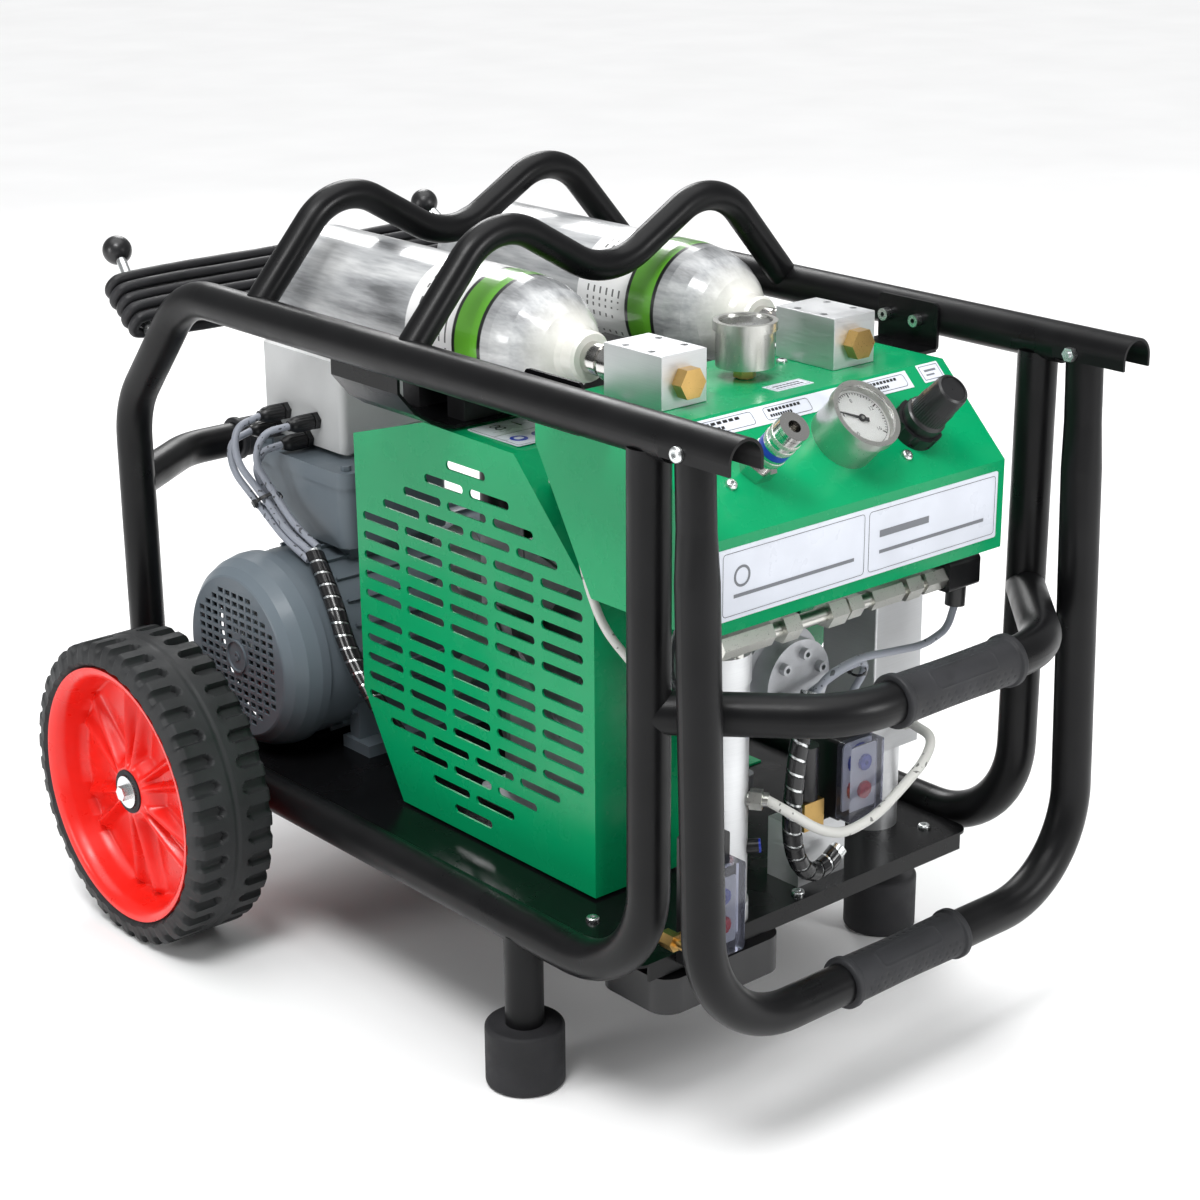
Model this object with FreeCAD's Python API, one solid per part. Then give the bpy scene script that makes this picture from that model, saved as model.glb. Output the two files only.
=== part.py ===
"""Twin stack compressor: a wheeled tube frame with a belt-driven compressor and two bottles.

Millimetres.  +Z up, +Y towards the wheels, +X to the right seen from the control panel.
The origin is on the floor, at the middle of the frame's length and width.
"""
import FreeCAD, Part
import math
import os

V = FreeCAD.Vector

# ---------------------------------------------------------------- driving dimensions
LENGTH = 973.0                       # over the two carrying grips
TUBE_R, TUBE_WALL = 17.5, 2.5        # frame tube, 35 x 2.5
FRAME_X = 225.2                      # side frames, centre to centre / 2
RAIL_Z, BOTTOM_Z = 617.3, 148.5      # top rail and bottom rail axes
UPRIGHT_Y, REAR_Y = -353.0, 398.0    # front upright and rear upright axes
UPRIGHT_JOINT_Z = 440.0              # where the bent tube meets the straight upper part of the upright
RAIL_FRONT_Y = -456.5                # open front end of the top rail
CHANNEL_END_Y = -381.5               # where the rail becomes a closed tube again
CHANNEL_EDGE_Z = 608.5
SLOPE_TOP_Y, SLOPE_END_Z = 287.0, 488.5
FOOT_Y, FOOT_R, FOOT_H, POST_R = -194.0, 35.0, 57.0, 17.0

PIVOT_Y, PIVOT_Z, PIVOT_R = -403.0, 614.5, 3.0
FOLD_BOTTOM_Z, FOLD_TILT = 128.0, 2.0
PRESSED_X, PRESSED_Y = 14.2, 17.0    # half axes of the pressed top of the folding legs
PRESSED_LENGTH, PRESS_TRANSITION = 62.0, 40.0

GUARD_R, GUARD_WALL = 13.5, 2.0      # bottle guard loops
GUARD_YS = {"front": -51.0, "rear": 175.0}

GRIP_LENGTH, GRIP_R, GRIP_FLANGE_R = 140.0, 20.5, 22.5
HANDLE_Z_FRONT, HANDLE_Z_REAR = 393.0, 412.0
GRIP_Y = LENGTH / 2 - GRIP_FLANGE_R

PLATE_TOP, PLATE_T = 150.0, 2.5
PLATE_FRONT, PLATE_BACK, PLATE_HALF = -319.0, 350.0, 207.3
PLATE_SCREWS = ((-176.0, -228.0), (-9.0, -309.0), (176.0, -290.0))

WHEEL_R, WHEEL_Y = 150.0, 274.0
TYRE_IN, TYRE_OUT = 260.0, 348.0     # |x| of the tyre's two sides
RIM_R, AXLE_R = 126.0, 10.0

BOTTLE_X, BOTTLE_Z, BOTTLE_R = 99.0, 615.0, 58.0
BOTTLE_NECK_Y, BOTTLE_END_Y = -143.0, 290.0
TRAY_FRONT, TRAY_BACK = -15.0, 82.0
BLOCK_SIZE = (50.0, 70.0, 45.0)
BLOCK_Y, BLOCK_Z = -221.0, 595.0
BLOCK_HOLE_DX, BLOCK_HOLE_DY, BLOCK_HOLE_R = 36.0, 31.0, 3.3

PANEL_HALF, PANEL_T = 176.0, 2.0
PANEL_FRONT, PANEL_BOTTOM, PANEL_BEND = -363.0, 442.0, 520.5
PANEL_TOP, PANEL_BACK = 595.0, -160.0
PANEL_TOP_Y = PANEL_FRONT + (PANEL_TOP - PANEL_BEND)
GAUGE_AT, REGULATOR_AT, COUPLING_AT = (16.0, 57.0), (95.5, 49.0), (-89.0, 51.0)
SLOPE_SCREWS = ((72.0, 27.0), (-120.3, 42.7))

COVER_X, COVER_INNER, COVER_T = -150.0, -50.0, 2.0
COVER_OUTLINE = [(-202, 152.5), (75, 152.5), (132, 252), (134, 502), (26, 534), (-99, 532), (-202, 426)]
SLOT_CENTRE, SLOT_SIZE = (-32.0, 337.5), (55.0, 8.0)
SLOTS_ACROSS, SLOT_PITCH, SLOT_ROW, SLOT_GAP = 5, 64.0, 19.0, 25.0

MOTOR_Y, MOTOR_Z, MOTOR_R = 287.0, 250.0, 98.0
GRILLE_X, GRILLE_R, COWL_END = -192.0, 80.0, -148.0
SHAFT_R = 14.0
CRANK_Y, CRANK_Z, CRANK_R = -40.0, 350.0, 12.0
PULLEY_X, PULLEY_W = 150.0, 22.0
MOTOR_PULLEY_R, FLYWHEEL_R, BELT_T = 42.0, 105.0, 8.0
RUNNING = 0.05                       # radial clearance of a shaft in its bearing

CORD_R = 5.5
POST_TOP = (190.0, 467.0, 627.0)
POST_FOOT = (214.0, 362.0, 546.0)
HANK_DROP, HANK_DEPTH = 70.0, 72.0   # along the post: knob centre to hank centre, and hank depth
HANK_OUTER, HANK_INNER, HANK_HALF = 22.0, 6.0, 208.5


# ---------------------------------------------------------------- shapes
def cyl(radius, start, end):
    """Solid cylinder between two points."""
    a, b = V(*start), V(*end)
    return Part.makeCylinder(radius, (b - a).Length, a, b - a)


def ring(outer, inner, start, end):
    """Straight tube between two points."""
    return cyl(outer, start, end).cut(cyl(inner, start, end))


def cone(r0, r1, start, end):
    a, b = V(*start), V(*end)
    return Part.makeCone(r0, r1, (b - a).Length, a, b - a)


def box(x0, x1, y0, y1, z0, z1):
    return Part.makeBox(x1 - x0, y1 - y0, z1 - z0, V(x0, y0, z0))


def rounded_box(x0, x1, y0, y1, z0, z1, radius, axis="z"):
    """Box with the four edges along one axis rounded."""
    solid = box(x0, x1, y0, y1, z0, z1)
    along = {"x": V(1, 0, 0), "y": V(0, 1, 0), "z": V(0, 0, 1)}[axis]
    edges = [e for e in solid.Edges if abs(e.tangentAt(e.FirstParameter).dot(along)) > 0.9]
    return solid.makeFillet(radius, edges)


def prism_x(outline, x0, x1):
    """Outline of (y, z) points pushed along X."""
    points = [V(x0, y, z) for y, z in outline]
    return Part.Face(Part.makePolygon(points + points[:1])).extrude(V(x1 - x0, 0, 0))


def prism_y(outline, y0, y1):
    """Outline of (x, z) points pushed along Y."""
    points = [V(x, y0, z) for x, z in outline]
    return Part.Face(Part.makePolygon(points + points[:1])).extrude(V(0, y1 - y0, 0))


def hexagon(across, start, end):
    """Hexagonal bar between two points."""
    a, b = V(*start), V(*end)
    axis = (b - a).normalize()
    side = axis.cross(V(0, 0, 1) if abs(axis.z) < 0.9 else V(1, 0, 0)).normalize()
    up = axis.cross(side)
    radius = across / math.sqrt(3)
    corners = []
    for i in range(6):
        angle = math.radians(60 * i)
        corners.append(a + side * (radius * math.cos(angle)) + up * (radius * math.sin(angle)))
    return Part.Face(Part.makePolygon(corners + corners[:1])).extrude(V(*end) - a)


def revolve_x(profile, y, z):
    """Closed (x, radius) profile turned about the line through (y, z) along X."""
    points = [V(x, y, z + r) for x, r in profile]
    face = Part.Face(Part.makePolygon(points + points[:1]))
    return face.revolve(V(0, y, z), V(1, 0, 0), 360)


def revolve_y(profile, x, z):
    """Closed (y, radius) profile turned about the line through (x, z) along Y."""
    points = [V(x, y, z + r) for y, r in profile]
    face = Part.Face(Part.makePolygon(points + points[:1]))
    return face.revolve(V(x, 0, z), V(0, 1, 0), 360)


def fuse(shapes):
    return shapes[0].multiFuse(shapes[1:]).removeSplitter() if len(shapes) > 1 else shapes[0]


def mirrored(shape):
    return shape.mirror(V(0, 0, 0), V(1, 0, 0))


def path(points, radii):
    """Wire of straight runs joined by tangent arcs, one radius for each inner point."""
    pts = [V(*p) for p in points]
    edges, at = [], pts[0]
    for i, radius in enumerate(radii, start=1):
        before = (pts[i] - pts[i - 1]).normalize()
        after = (pts[i + 1] - pts[i]).normalize()
        half_turn = before.getAngle(after) / 2
        reach = radius * math.tan(half_turn)
        start, end = pts[i] - before * reach, pts[i] + after * reach
        towards = (after - before).normalize()
        middle = pts[i] + towards * (radius / math.cos(half_turn) - radius)
        if (start - at).Length > 1e-6:
            edges.append(Part.LineSegment(at, start).toShape())
        edges.append(Part.Arc(start, middle, end).toShape())
        at = end
    edges.append(Part.LineSegment(at, pts[-1]).toShape())
    return Part.Wire(edges)


def swept(points, radii, radius):
    """Round bar bent along a path."""
    wire = path(points, radii)
    start = V(*points[0])
    circle = Part.Wire([Part.makeCircle(radius, start, V(*points[1]) - start)])
    return wire.makePipeShell([circle], True, True)


def bent_tube(points, radii, radius, wall):
    return swept(points, radii, radius).cut(swept(points, radii, radius - wall))


def cord(name, points, radius):
    """Cord along a route, each arc as large as its two runs allow.  Prints what it measures."""
    pts = [V(*p) for p in points]
    radii = []
    for a, b, c in zip(pts, pts[1:], pts[2:]):
        turn = (b - a).getAngle(c - b)
        radii.append(0.45 * min((b - a).Length, (c - b).Length) / math.tan(turn / 2))
    solid = swept(points, radii, radius)
    length = path(points, radii).Length
    print(f"{name}: length {length:.0f} radii {[round(r) for r in radii]} "
          f"volume/section*length {solid.Volume / (math.pi * radius ** 2 * length):.4f}")
    return solid


def save(name, *solids):
    shape = solids[0] if len(solids) == 1 else Part.makeCompound(list(solids))
    shape.exportStep(f"parts/{name}.step")


# ---------------------------------------------------------------- frame
def side_frame(side):
    """One bent tube closed on itself by the front upright, with its open channel and foot post."""
    x = side * FRAME_X
    bore = TUBE_R - TUBE_WALL
    route = [(x, RAIL_FRONT_Y, RAIL_Z), (x, SLOPE_TOP_Y, RAIL_Z), (x, REAR_Y, SLOPE_END_Z),
             (x, REAR_Y, BOTTOM_Z), (x, UPRIGHT_Y, BOTTOM_Z), (x, UPRIGHT_Y, UPRIGHT_JOINT_Z)]
    tube = bent_tube(route, [90, 90, 85, 95], TUBE_R, TUBE_WALL)
    upright = ring(TUBE_R, bore, (x, UPRIGHT_Y, UPRIGHT_JOINT_Z), (x, UPRIGHT_Y, RAIL_Z - 10))
    post = ring(POST_R, POST_R - TUBE_WALL, (x, FOOT_Y, FOOT_H - 37), (x, FOOT_Y, BOTTOM_Z - 6))
    post = post.cut(cyl(TUBE_R - 0.5, (x, FOOT_Y - 30, BOTTOM_Z), (x, FOOT_Y + 30, BOTTOM_Z)))
    tube = tube.fuse(upright.cut(rail_cutter(side))).fuse(post)
    tube = tube.cut(box(x - 20, x + 20, RAIL_FRONT_Y - 1, CHANNEL_END_Y, RAIL_Z - 20, RAIL_Z))
    for s in (-1, 1):
        faces = sorted((x + s * TUBE_R, x + s * bore))
        tube = tube.fuse(box(*faces, RAIL_FRONT_Y, CHANNEL_END_Y, CHANNEL_EDGE_Z, RAIL_Z))
    return tube.cut(cyl(PIVOT_R + 0.05, (x - 20, PIVOT_Y, PIVOT_Z), (x + 20, PIVOT_Y, PIVOT_Z)))


def rail_cutter(side):
    x = side * FRAME_X
    return cyl(TUBE_R, (x, RAIL_FRONT_Y, RAIL_Z), (x, SLOPE_TOP_Y, RAIL_Z))


def bottle_guard(y):
    """Loop with two peaks over the bottles, welded on both rails."""
    foot, peak, dip = (FRAME_X, 618), (128, 728), (0, 654)
    half = [(foot[0], y, foot[1]), (peak[0], y, peak[1])]
    route = half + [(dip[0], y, dip[1])] + [(-px, py, pz) for px, py, pz in reversed(half)]
    tube = bent_tube(route, [58, 75, 58], GUARD_R, GUARD_WALL)
    return tube.cut(rail_cutter(-1)).cut(rail_cutter(1))


def carry_handle(near, bend, z, upright_y, radius):
    """Bar bent round the end of the frame and welded to both uprights."""
    half = [(near[0], near[1], z), (bend[0], bend[1], z)]
    route = half + [(-px, py, pz) for px, py, pz in reversed(half)]
    tube = bent_tube(route, [radius, radius], TUBE_R, TUBE_WALL)
    for side in (-1, 1):
        x = side * FRAME_X
        tube = tube.cut(cyl(TUBE_R, (x, upright_y, z - 60), (x, upright_y, z + 60)))
    return tube


def grip(y, z):
    """Rubber sleeve with an end flange and a shallow middle."""
    half = GRIP_LENGTH / 2
    sleeve = cyl(GRIP_R, (-half, y, z), (half, y, z))
    flanges = [cyl(GRIP_FLANGE_R, (s * half, y, z), (s * (half - 6), y, z)) for s in (-1, 1)]
    return fuse([sleeve] + flanges).cut(cyl(TUBE_R, (-half, y, z), (half, y, z)))


def base_plate():
    """Tray of folded sheet between the bottom rails, lip down at the front and back."""
    low = PLATE_TOP - PLATE_T
    sheet = rounded_box(-PLATE_HALF, PLATE_HALF, PLATE_FRONT, PLATE_BACK, low, PLATE_TOP, 14)
    width = PLATE_HALF - 14
    lips = [box(-width, width, PLATE_FRONT, PLATE_FRONT + PLATE_T, low - 14, low),
            box(-width, width, PLATE_BACK - PLATE_T, PLATE_BACK, low - 14, low)]
    plate = fuse([sheet] + lips)
    for x, y in PLATE_SCREWS:
        plate = plate.cut(cyl(3, (x, y, low), (x, y, PLATE_TOP)))
    return plate


def rubber_foot(side):
    x = side * FRAME_X
    block = cyl(FOOT_R, (x, FOOT_Y, 0), (x, FOOT_Y, FOOT_H))
    rims = [e for e in block.Edges if isinstance(e.Curve, Part.Circle)]
    return block.makeFillet(4, rims).cut(cyl(POST_R, (x, FOOT_Y, FOOT_H - 37), (x, FOOT_Y, FOOT_H)))


def pressed_leg_top(x):
    """Folding leg's top: an oval that fits in the rail's channel, blended to the round tube."""
    end_z = PIVOT_Z - PRESSED_LENGTH
    oval = Part.Ellipse(V(x, PIVOT_Y + PRESSED_Y, PIVOT_Z), V(x + PRESSED_X, PIVOT_Y, PIVOT_Z),
                        V(x, PIVOT_Y, PIVOT_Z)).toShape()
    prism = Part.Face(Part.Wire([oval])).extrude(V(0, 0, -PRESSED_LENGTH))
    cap = Part.makeSphere(1.0)
    stretch = FreeCAD.Matrix()
    stretch.scale(PRESSED_X, PRESSED_Y, PRESSED_Y)
    cap = cap.transformGeometry(stretch)
    cap.translate(V(x, PIVOT_Y, PIVOT_Z))
    low_oval = oval.translated(V(0, 0, -PRESSED_LENGTH))
    circle = Part.makeCircle(TUBE_R, V(x, PIVOT_Y, end_z - PRESS_TRANSITION))
    blend = Part.makeLoft([Part.Wire([low_oval]), Part.Wire([circle])], True)
    return [prism, cap, blend]


def tilted(shape):
    """Turned about the folding pivot by the angle at which the handle hangs."""
    shape.rotate(V(0, PIVOT_Y, PIVOT_Z), V(1, 0, 0), -FOLD_TILT)
    return shape


def fold_handle():
    """U-shaped pull handle that hangs in front and folds up level."""
    top_z = PIVOT_Z - PRESSED_LENGTH - PRESS_TRANSITION
    half = [(FRAME_X, PIVOT_Y, top_z), (FRAME_X, PIVOT_Y, FOLD_BOTTOM_Z)]
    route = half + [(-px, py, pz) for px, py, pz in reversed(half)]
    pieces = [bent_tube(route, [95, 95], TUBE_R, TUBE_WALL)]
    for side in (-1, 1):
        pieces += pressed_leg_top(side * FRAME_X)
    handle = fuse(pieces)
    for side in (-1, 1):
        x = side * FRAME_X
        handle = handle.cut(cyl(PIVOT_R + RUNNING, (x - 20, PIVOT_Y, PIVOT_Z), (x + 20, PIVOT_Y, PIVOT_Z)))
    return tilted(handle)


# ---------------------------------------------------------------- fasteners
def button_screw(at, out, head_r, head_h, length):
    """Domed screw: its head stands on `at`, pointing along `out`."""
    base, axis = V(*at), V(*out).normalize()
    shank_r = head_r * 0.5
    dome = Part.makeCylinder(head_r, head_h, base, axis)
    rim = [e for e in dome.Edges if isinstance(e.Curve, Part.Circle) and
           (e.Curve.Center - base).Length > head_h / 2]
    dome = dome.makeFillet(head_h * 0.6, rim)
    socket = hexagon(head_r * 0.8, tuple(base + axis * head_h * 0.5), tuple(base + axis * (head_h + 1)))
    return fuse([dome.cut(socket), Part.makeCylinder(shank_r, length, base, axis * -1)])


def fasteners():
    """Pivot bolts with their nuts, tray screws and panel screws."""
    solids = []
    outer, inner = FRAME_X + TUBE_R, FRAME_X - TUBE_R
    for side in (-1, 1):
        bolt = button_screw((side * outer, PIVOT_Y, PIVOT_Z), (side, 0, 0), 6.5, 4, 2 * TUBE_R + 8)
        shank = cyl(PIVOT_R, (side * outer, PIVOT_Y, PIVOT_Z), (side * (inner - 8), PIVOT_Y, PIVOT_Z))
        head = bolt.common(cyl(7, (side * outer, PIVOT_Y, PIVOT_Z), (side * (outer + 5), PIVOT_Y, PIVOT_Z)))
        nut = hexagon(11, (side * inner, PIVOT_Y, PIVOT_Z), (side * (inner - 6), PIVOT_Y, PIVOT_Z))
        solids.append(fuse([head, shank, nut]))
        for y in (-233.0, -197.0):
            face = side * (inner - 3)
            solids.append(ring(5.5, 2.2, (face, y, 615), (face - side * 7, y, 615)))
        for dx in (-36, 36):
            for y in (-205.0, -172.0):
                at = (side * BOTTLE_X + dx, y, PANEL_TOP)
                solids.append(button_screw(at, (0, 0, 1), 5, 3.5, PANEL_T))
    for x, up in SLOPE_SCREWS:
        solids.append(button_screw(tuple(slope_point(x, up, 0)), tuple(SLOPE_N), 5, 3.5, PANEL_T))
    for x, y in PLATE_SCREWS:
        solids.append(button_screw((x, y, PLATE_TOP), (0, 0, 1), 6, 4, PLATE_T))
    return solids


# ---------------------------------------------------------------- wheels
def wheel_axle(side):
    """Stub axle on the bottom rail, with the collar, washer and end screw of its wheel."""
    def at(x):
        return (side * x, WHEEL_Y, WHEEL_R)
    rail = FRAME_X
    shaft = cyl(AXLE_R, at(rail), at(331))
    collar = cyl(16, at(rail), at(TYRE_IN + 3))
    tip = cyl(4, at(331), at(334))
    washer = cyl(16, at(331.2), at(333.5))
    head = hexagon(13, at(333.5), at(340))
    stub = fuse([shaft, collar, tip, washer, head])
    x = side * FRAME_X
    return stub.cut(cyl(TUBE_R, (x, WHEEL_Y - 60, BOTTOM_Z), (x, WHEEL_Y + 60, BOTTOM_Z)))


def wheel_rim(side):
    """Moulded rim: barrel with two lips, dished web, hub and six pairs of ribs."""
    profile = [(TYRE_IN + 6, 112), (TYRE_IN + 2, 112), (TYRE_IN + 2, RIM_R), (TYRE_IN + 6, RIM_R),
               (TYRE_IN + 10, 119), (TYRE_OUT - 10, 119), (TYRE_OUT - 6, RIM_R), (TYRE_OUT - 2, RIM_R),
               (TYRE_OUT - 2, 123), (TYRE_OUT - 8, 116.5), (TYRE_OUT - 30, 114), (TYRE_OUT - 36, 107),
               (TYRE_OUT - 28, 30), (TYRE_OUT - 18, 24),
               (TYRE_OUT - 18, AXLE_R + RUNNING), (TYRE_IN + 4, AXLE_R + RUNNING), (TYRE_IN + 4, 22),
               (TYRE_OUT - 33, 26), (TYRE_OUT - 40, 108), (TYRE_OUT - 40, 112)]
    rim = revolve_x(profile, WHEEL_Y, WHEEL_R)
    ribs = []
    for i in range(6):
        for offset in (-8.0, 8.0):
            rib = box(TYRE_OUT - 33, TYRE_OUT - 20, WHEEL_Y + offset - 2.5, WHEEL_Y + offset + 2.5,
                      WHEEL_R + 20, WHEEL_R + 113)
            rib.rotate(V(0, WHEEL_Y, WHEEL_R), V(1, 0, 0), 60 * i)
            ribs.append(rib)
    rim = fuse([rim] + ribs)
    return rim if side > 0 else mirrored(rim)


def wheel_tyre(side):
    """Solid rubber tyre with a flat tread and round shoulders."""
    points = [V(TYRE_IN + 6.1, WHEEL_Y, WHEEL_R + RIM_R), V(TYRE_IN + 0.5, WHEEL_Y, WHEEL_R + 131),
              V(TYRE_IN, WHEEL_Y, WHEEL_R + 139), V(TYRE_IN + 11, WHEEL_Y, WHEEL_R + WHEEL_R)]
    far = [V(TYRE_IN + TYRE_OUT - p.x, p.y, p.z) for p in reversed(points)]
    inner = [V(TYRE_OUT - 10, WHEEL_Y, WHEEL_R + 119), V(TYRE_IN + 10, WHEEL_Y, WHEEL_R + 119)]
    near_bend = Part.Arc(points[2], V(TYRE_IN + 3, WHEEL_Y, WHEEL_R + 147), points[3]).toShape()
    far_bend = Part.Arc(far[0], V(TYRE_OUT - 3, WHEEL_Y, WHEEL_R + 147), far[1]).toShape()
    lines = [(points[0], points[1]), (points[1], points[2]), (points[3], far[0]), (far[1], far[2]),
             (far[2], far[3]), (far[3], inner[0]), (inner[0], inner[1]), (inner[1], points[0])]
    edges = [Part.LineSegment(a, b).toShape() for a, b in lines] + [near_bend, far_bend]
    wire = Part.Wire(Part.__sortEdges__(edges))
    tyre = Part.Face(wire).revolve(V(0, WHEEL_Y, WHEEL_R), V(1, 0, 0), 360)
    return tyre if side > 0 else mirrored(tyre)


# ---------------------------------------------------------------- bottles and their tray
def bottle(side):
    """Wrapped pressure bottle, lying along Y, neck forwards."""
    x, y0, y1 = side * BOTTLE_X, BOTTLE_NECK_Y, BOTTLE_END_Y
    dome = []
    for i in range(7):
        angle = math.radians(15 * i)
        dome.append((y1 - 55 + 55 * math.sin(angle), BOTTLE_R * math.cos(angle)))
    dome[-1] = (y1, 0.0)
    front = [(y0, 0), (y0, 20), (y0 + 3, 22), (y0 + 15, 22.5), (y0 + 20, 25.5), (y0 + 28, 34), (y0 + 38, 42),
             (y0 + 52, 50), (y0 + 70, 55.5), (y0 + 92, BOTTLE_R)]
    return revolve_y(front + dome, x, BOTTLE_Z)


def bottle_neck(side):
    """Steel nipple between a bottle and its block."""
    x, start, end = side * BOTTLE_X, BLOCK_Y + BLOCK_SIZE[1] / 2, BOTTLE_NECK_Y
    return fuse([cyl(11, (x, start, BOTTLE_Z), (x, end, BOTTLE_Z)),
                 cyl(16, (x, start + 8, BOTTLE_Z), (x, start + 20, BOTTLE_Z)),
                 cyl(14, (x, start + 26, BOTTLE_Z), (x, end, BOTTLE_Z))])


def manifold_block(side):
    """Drilled block under each bottle's neck, four tapped holes on top."""
    x = side * BOTTLE_X
    dx, dy, dz = BLOCK_SIZE
    block = box(x - dx / 2, x + dx / 2, BLOCK_Y - dy / 2, BLOCK_Y + dy / 2, BLOCK_Z, BLOCK_Z + dz)
    block = block.makeFillet(0.8, block.Edges)
    top = BLOCK_Z + dz
    for sx in (-1, 1):
        for sy in (-1, 1):
            at = (x + sx * BLOCK_HOLE_DX / 2, BLOCK_Y + sy * BLOCK_HOLE_DY / 2)
            block = block.cut(cyl(BLOCK_HOLE_R, (*at, top - 14), (*at, top)))
    return block


def bottle_cradle():
    """Folded tray under the bottles and the bridge that carries the blocks, with rail flanges."""
    face = FRAME_X - TUBE_R
    t = 3.0
    low = [(face, 612), (face, 577), (190, 556), (173, 545), (157, 538), (148, 536)]
    high = [(147, 539), (156, 541), (171.5, 547.6), (188, 558.2), (face - t, 578), (face - t, 612)]
    outline = [(-x, z) for x, z in low] + low[::-1] + high[::-1] + [(-x, z) for x, z in high]
    tray = prism_y(outline, TRAY_FRONT, TRAY_BACK)
    tray = tray.cut(rail_cutter(-1)).cut(rail_cutter(1))
    bridge = box(-face + t, face - t, -256, -186, 590, 593)
    flanges = []
    for side in (-1, 1):
        faces = sorted((side * face, side * (face - t)))
        flanges.append(rounded_box(*faces, -256, -186, 590, 633, 5, "x"))
    tie = box(-30, 30, -186, TRAY_FRONT + t, 590, 593)
    web = box(-30, 30, TRAY_FRONT, TRAY_FRONT + t, 536, 593)
    return fuse([tray, bridge, tie, web] + flanges)


def cradle_pads():
    """Rubber saddles between the tray and each bottle, and the pad on the side cover."""
    solids = []
    for side in (-1, 1):
        x = side * BOTTLE_X
        for y in (TRAY_FRONT + 16, TRAY_BACK - 16):
            pad = box(x - 34, x + 34, y - 12, y + 12, 539, 575)
            solids.append(pad.cut(cyl(BOTTLE_R, (x, y - 20, BOTTLE_Z), (x, y + 20, BOTTLE_Z))))
    return solids


# ---------------------------------------------------------------- control panel
SLOPE_N = V(0, -1, 1).normalize()
SLOPE_UP = V(0, 1, 1).normalize()


def slope_point(x, up, out):
    """Point on the panel's sloping face: distance up the slope, and out from it."""
    return V(x, PANEL_FRONT, PANEL_BEND) + SLOPE_UP * up + SLOPE_N * out


def slope_cyl(at, radius, start, end):
    return Part.makeCylinder(radius, end - start, slope_point(*at, start), SLOPE_N)


def panel_outline(inset):
    """Side view of the panel's shell."""
    i, k = inset, inset * math.tan(math.radians(22.5))
    return [(PANEL_FRONT + i, PANEL_BOTTOM), (PANEL_FRONT + i, PANEL_BEND - k),
            (PANEL_TOP_Y + k, PANEL_TOP - i), (PANEL_BACK, PANEL_TOP - i), (PANEL_BACK, 560),
            (PANEL_TOP_Y + 60, PANEL_BOTTOM)]


def control_panel():
    """Folded sheet with a vertical face, a 45 degree slope and a flat top, open underneath."""
    solid = prism_x(panel_outline(0), -PANEL_HALF, PANEL_HALF)
    hollow = prism_x(panel_outline(PANEL_T), -PANEL_HALF + PANEL_T, PANEL_HALF - PANEL_T)
    hollow = fuse([hollow, box(-PANEL_HALF + PANEL_T, PANEL_HALF - PANEL_T, PANEL_TOP_Y + 55,
                               PANEL_BACK + 5, PANEL_BOTTOM - 5, PANEL_TOP - PANEL_T)])
    panel = solid.cut(hollow)
    lip = box(-PANEL_HALF + 2, PANEL_HALF - 2, PANEL_FRONT, PANEL_FRONT + 14, PANEL_BOTTOM, PANEL_BOTTOM + PANEL_T)
    panel = fuse([panel, lip])
    for at, radius in ((GAUGE_AT, 8.0), (REGULATOR_AT, 12.0), (COUPLING_AT, 9.0)):
        panel = panel.cut(slope_cyl(at, radius, -6, 4))
    for x, up in SLOPE_SCREWS:
        panel = panel.cut(slope_cyl((x, up), 2.5, -6, 4))
    for side in (-1, 1):
        for dx in (-36, 36):
            for y in (-205.0, -172.0):
                x = side * BOTTLE_X + dx
                panel = panel.cut(cyl(2.5, (x, y, PANEL_TOP - 5), (x, y, PANEL_TOP + 1)))
    bridge_slot = box(-PANEL_HALF - 1, PANEL_HALF + 1, -256.5, -185.5, 589.5, PANEL_TOP - PANEL_T)
    return panel.cut(bridge_slot).cut(cyl(7, (3, BLOCK_Y, PANEL_TOP - 5), (3, BLOCK_Y, PANEL_TOP + 1)))


def label_plates():
    """White plate on the front face, strip on the slope and small plate on the top."""
    front = rounded_box(-163, 167, PANEL_FRONT - 1, PANEL_FRONT, 453, 512, 2, "y")
    strip = box(-150, 125, 0, 17, 0, 0.5)
    strip.rotate(V(0, 0, 0), V(1, 0, 0), 45)
    strip.translate(slope_point(0, 85.5, 0))
    strip = strip.cut(slope_cyl(GAUGE_AT, 30, -1, 5))
    top = box(-10, 33, -273, -255, PANEL_TOP, PANEL_TOP + 0.5)
    return [front, strip, top]


def gauge_shell(base, axis, radius, depth, cavity):
    """Round case with a bezel and an open dial chamber."""
    def at(d):
        return base + axis * d
    case = Part.makeCylinder(radius, depth - 3, base, axis)
    bezel = Part.makeCylinder(radius + 2.5, 8, at(depth - 8), axis)
    chamber = Part.makeCylinder(radius - 2, cavity, at(depth - cavity), axis)
    pivot = Part.makeCylinder(1.5, 3.2, at(depth - cavity), axis)
    return fuse([fuse([case, bezel]).cut(chamber), pivot])


def gauge_disc(base, axis, radius, start, thickness, hole):
    disc = Part.makeCylinder(radius, thickness, base + axis * start, axis)
    if not hole:
        return disc
    return disc.cut(Part.makeCylinder(hole, thickness, base + axis * start, axis))


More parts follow.
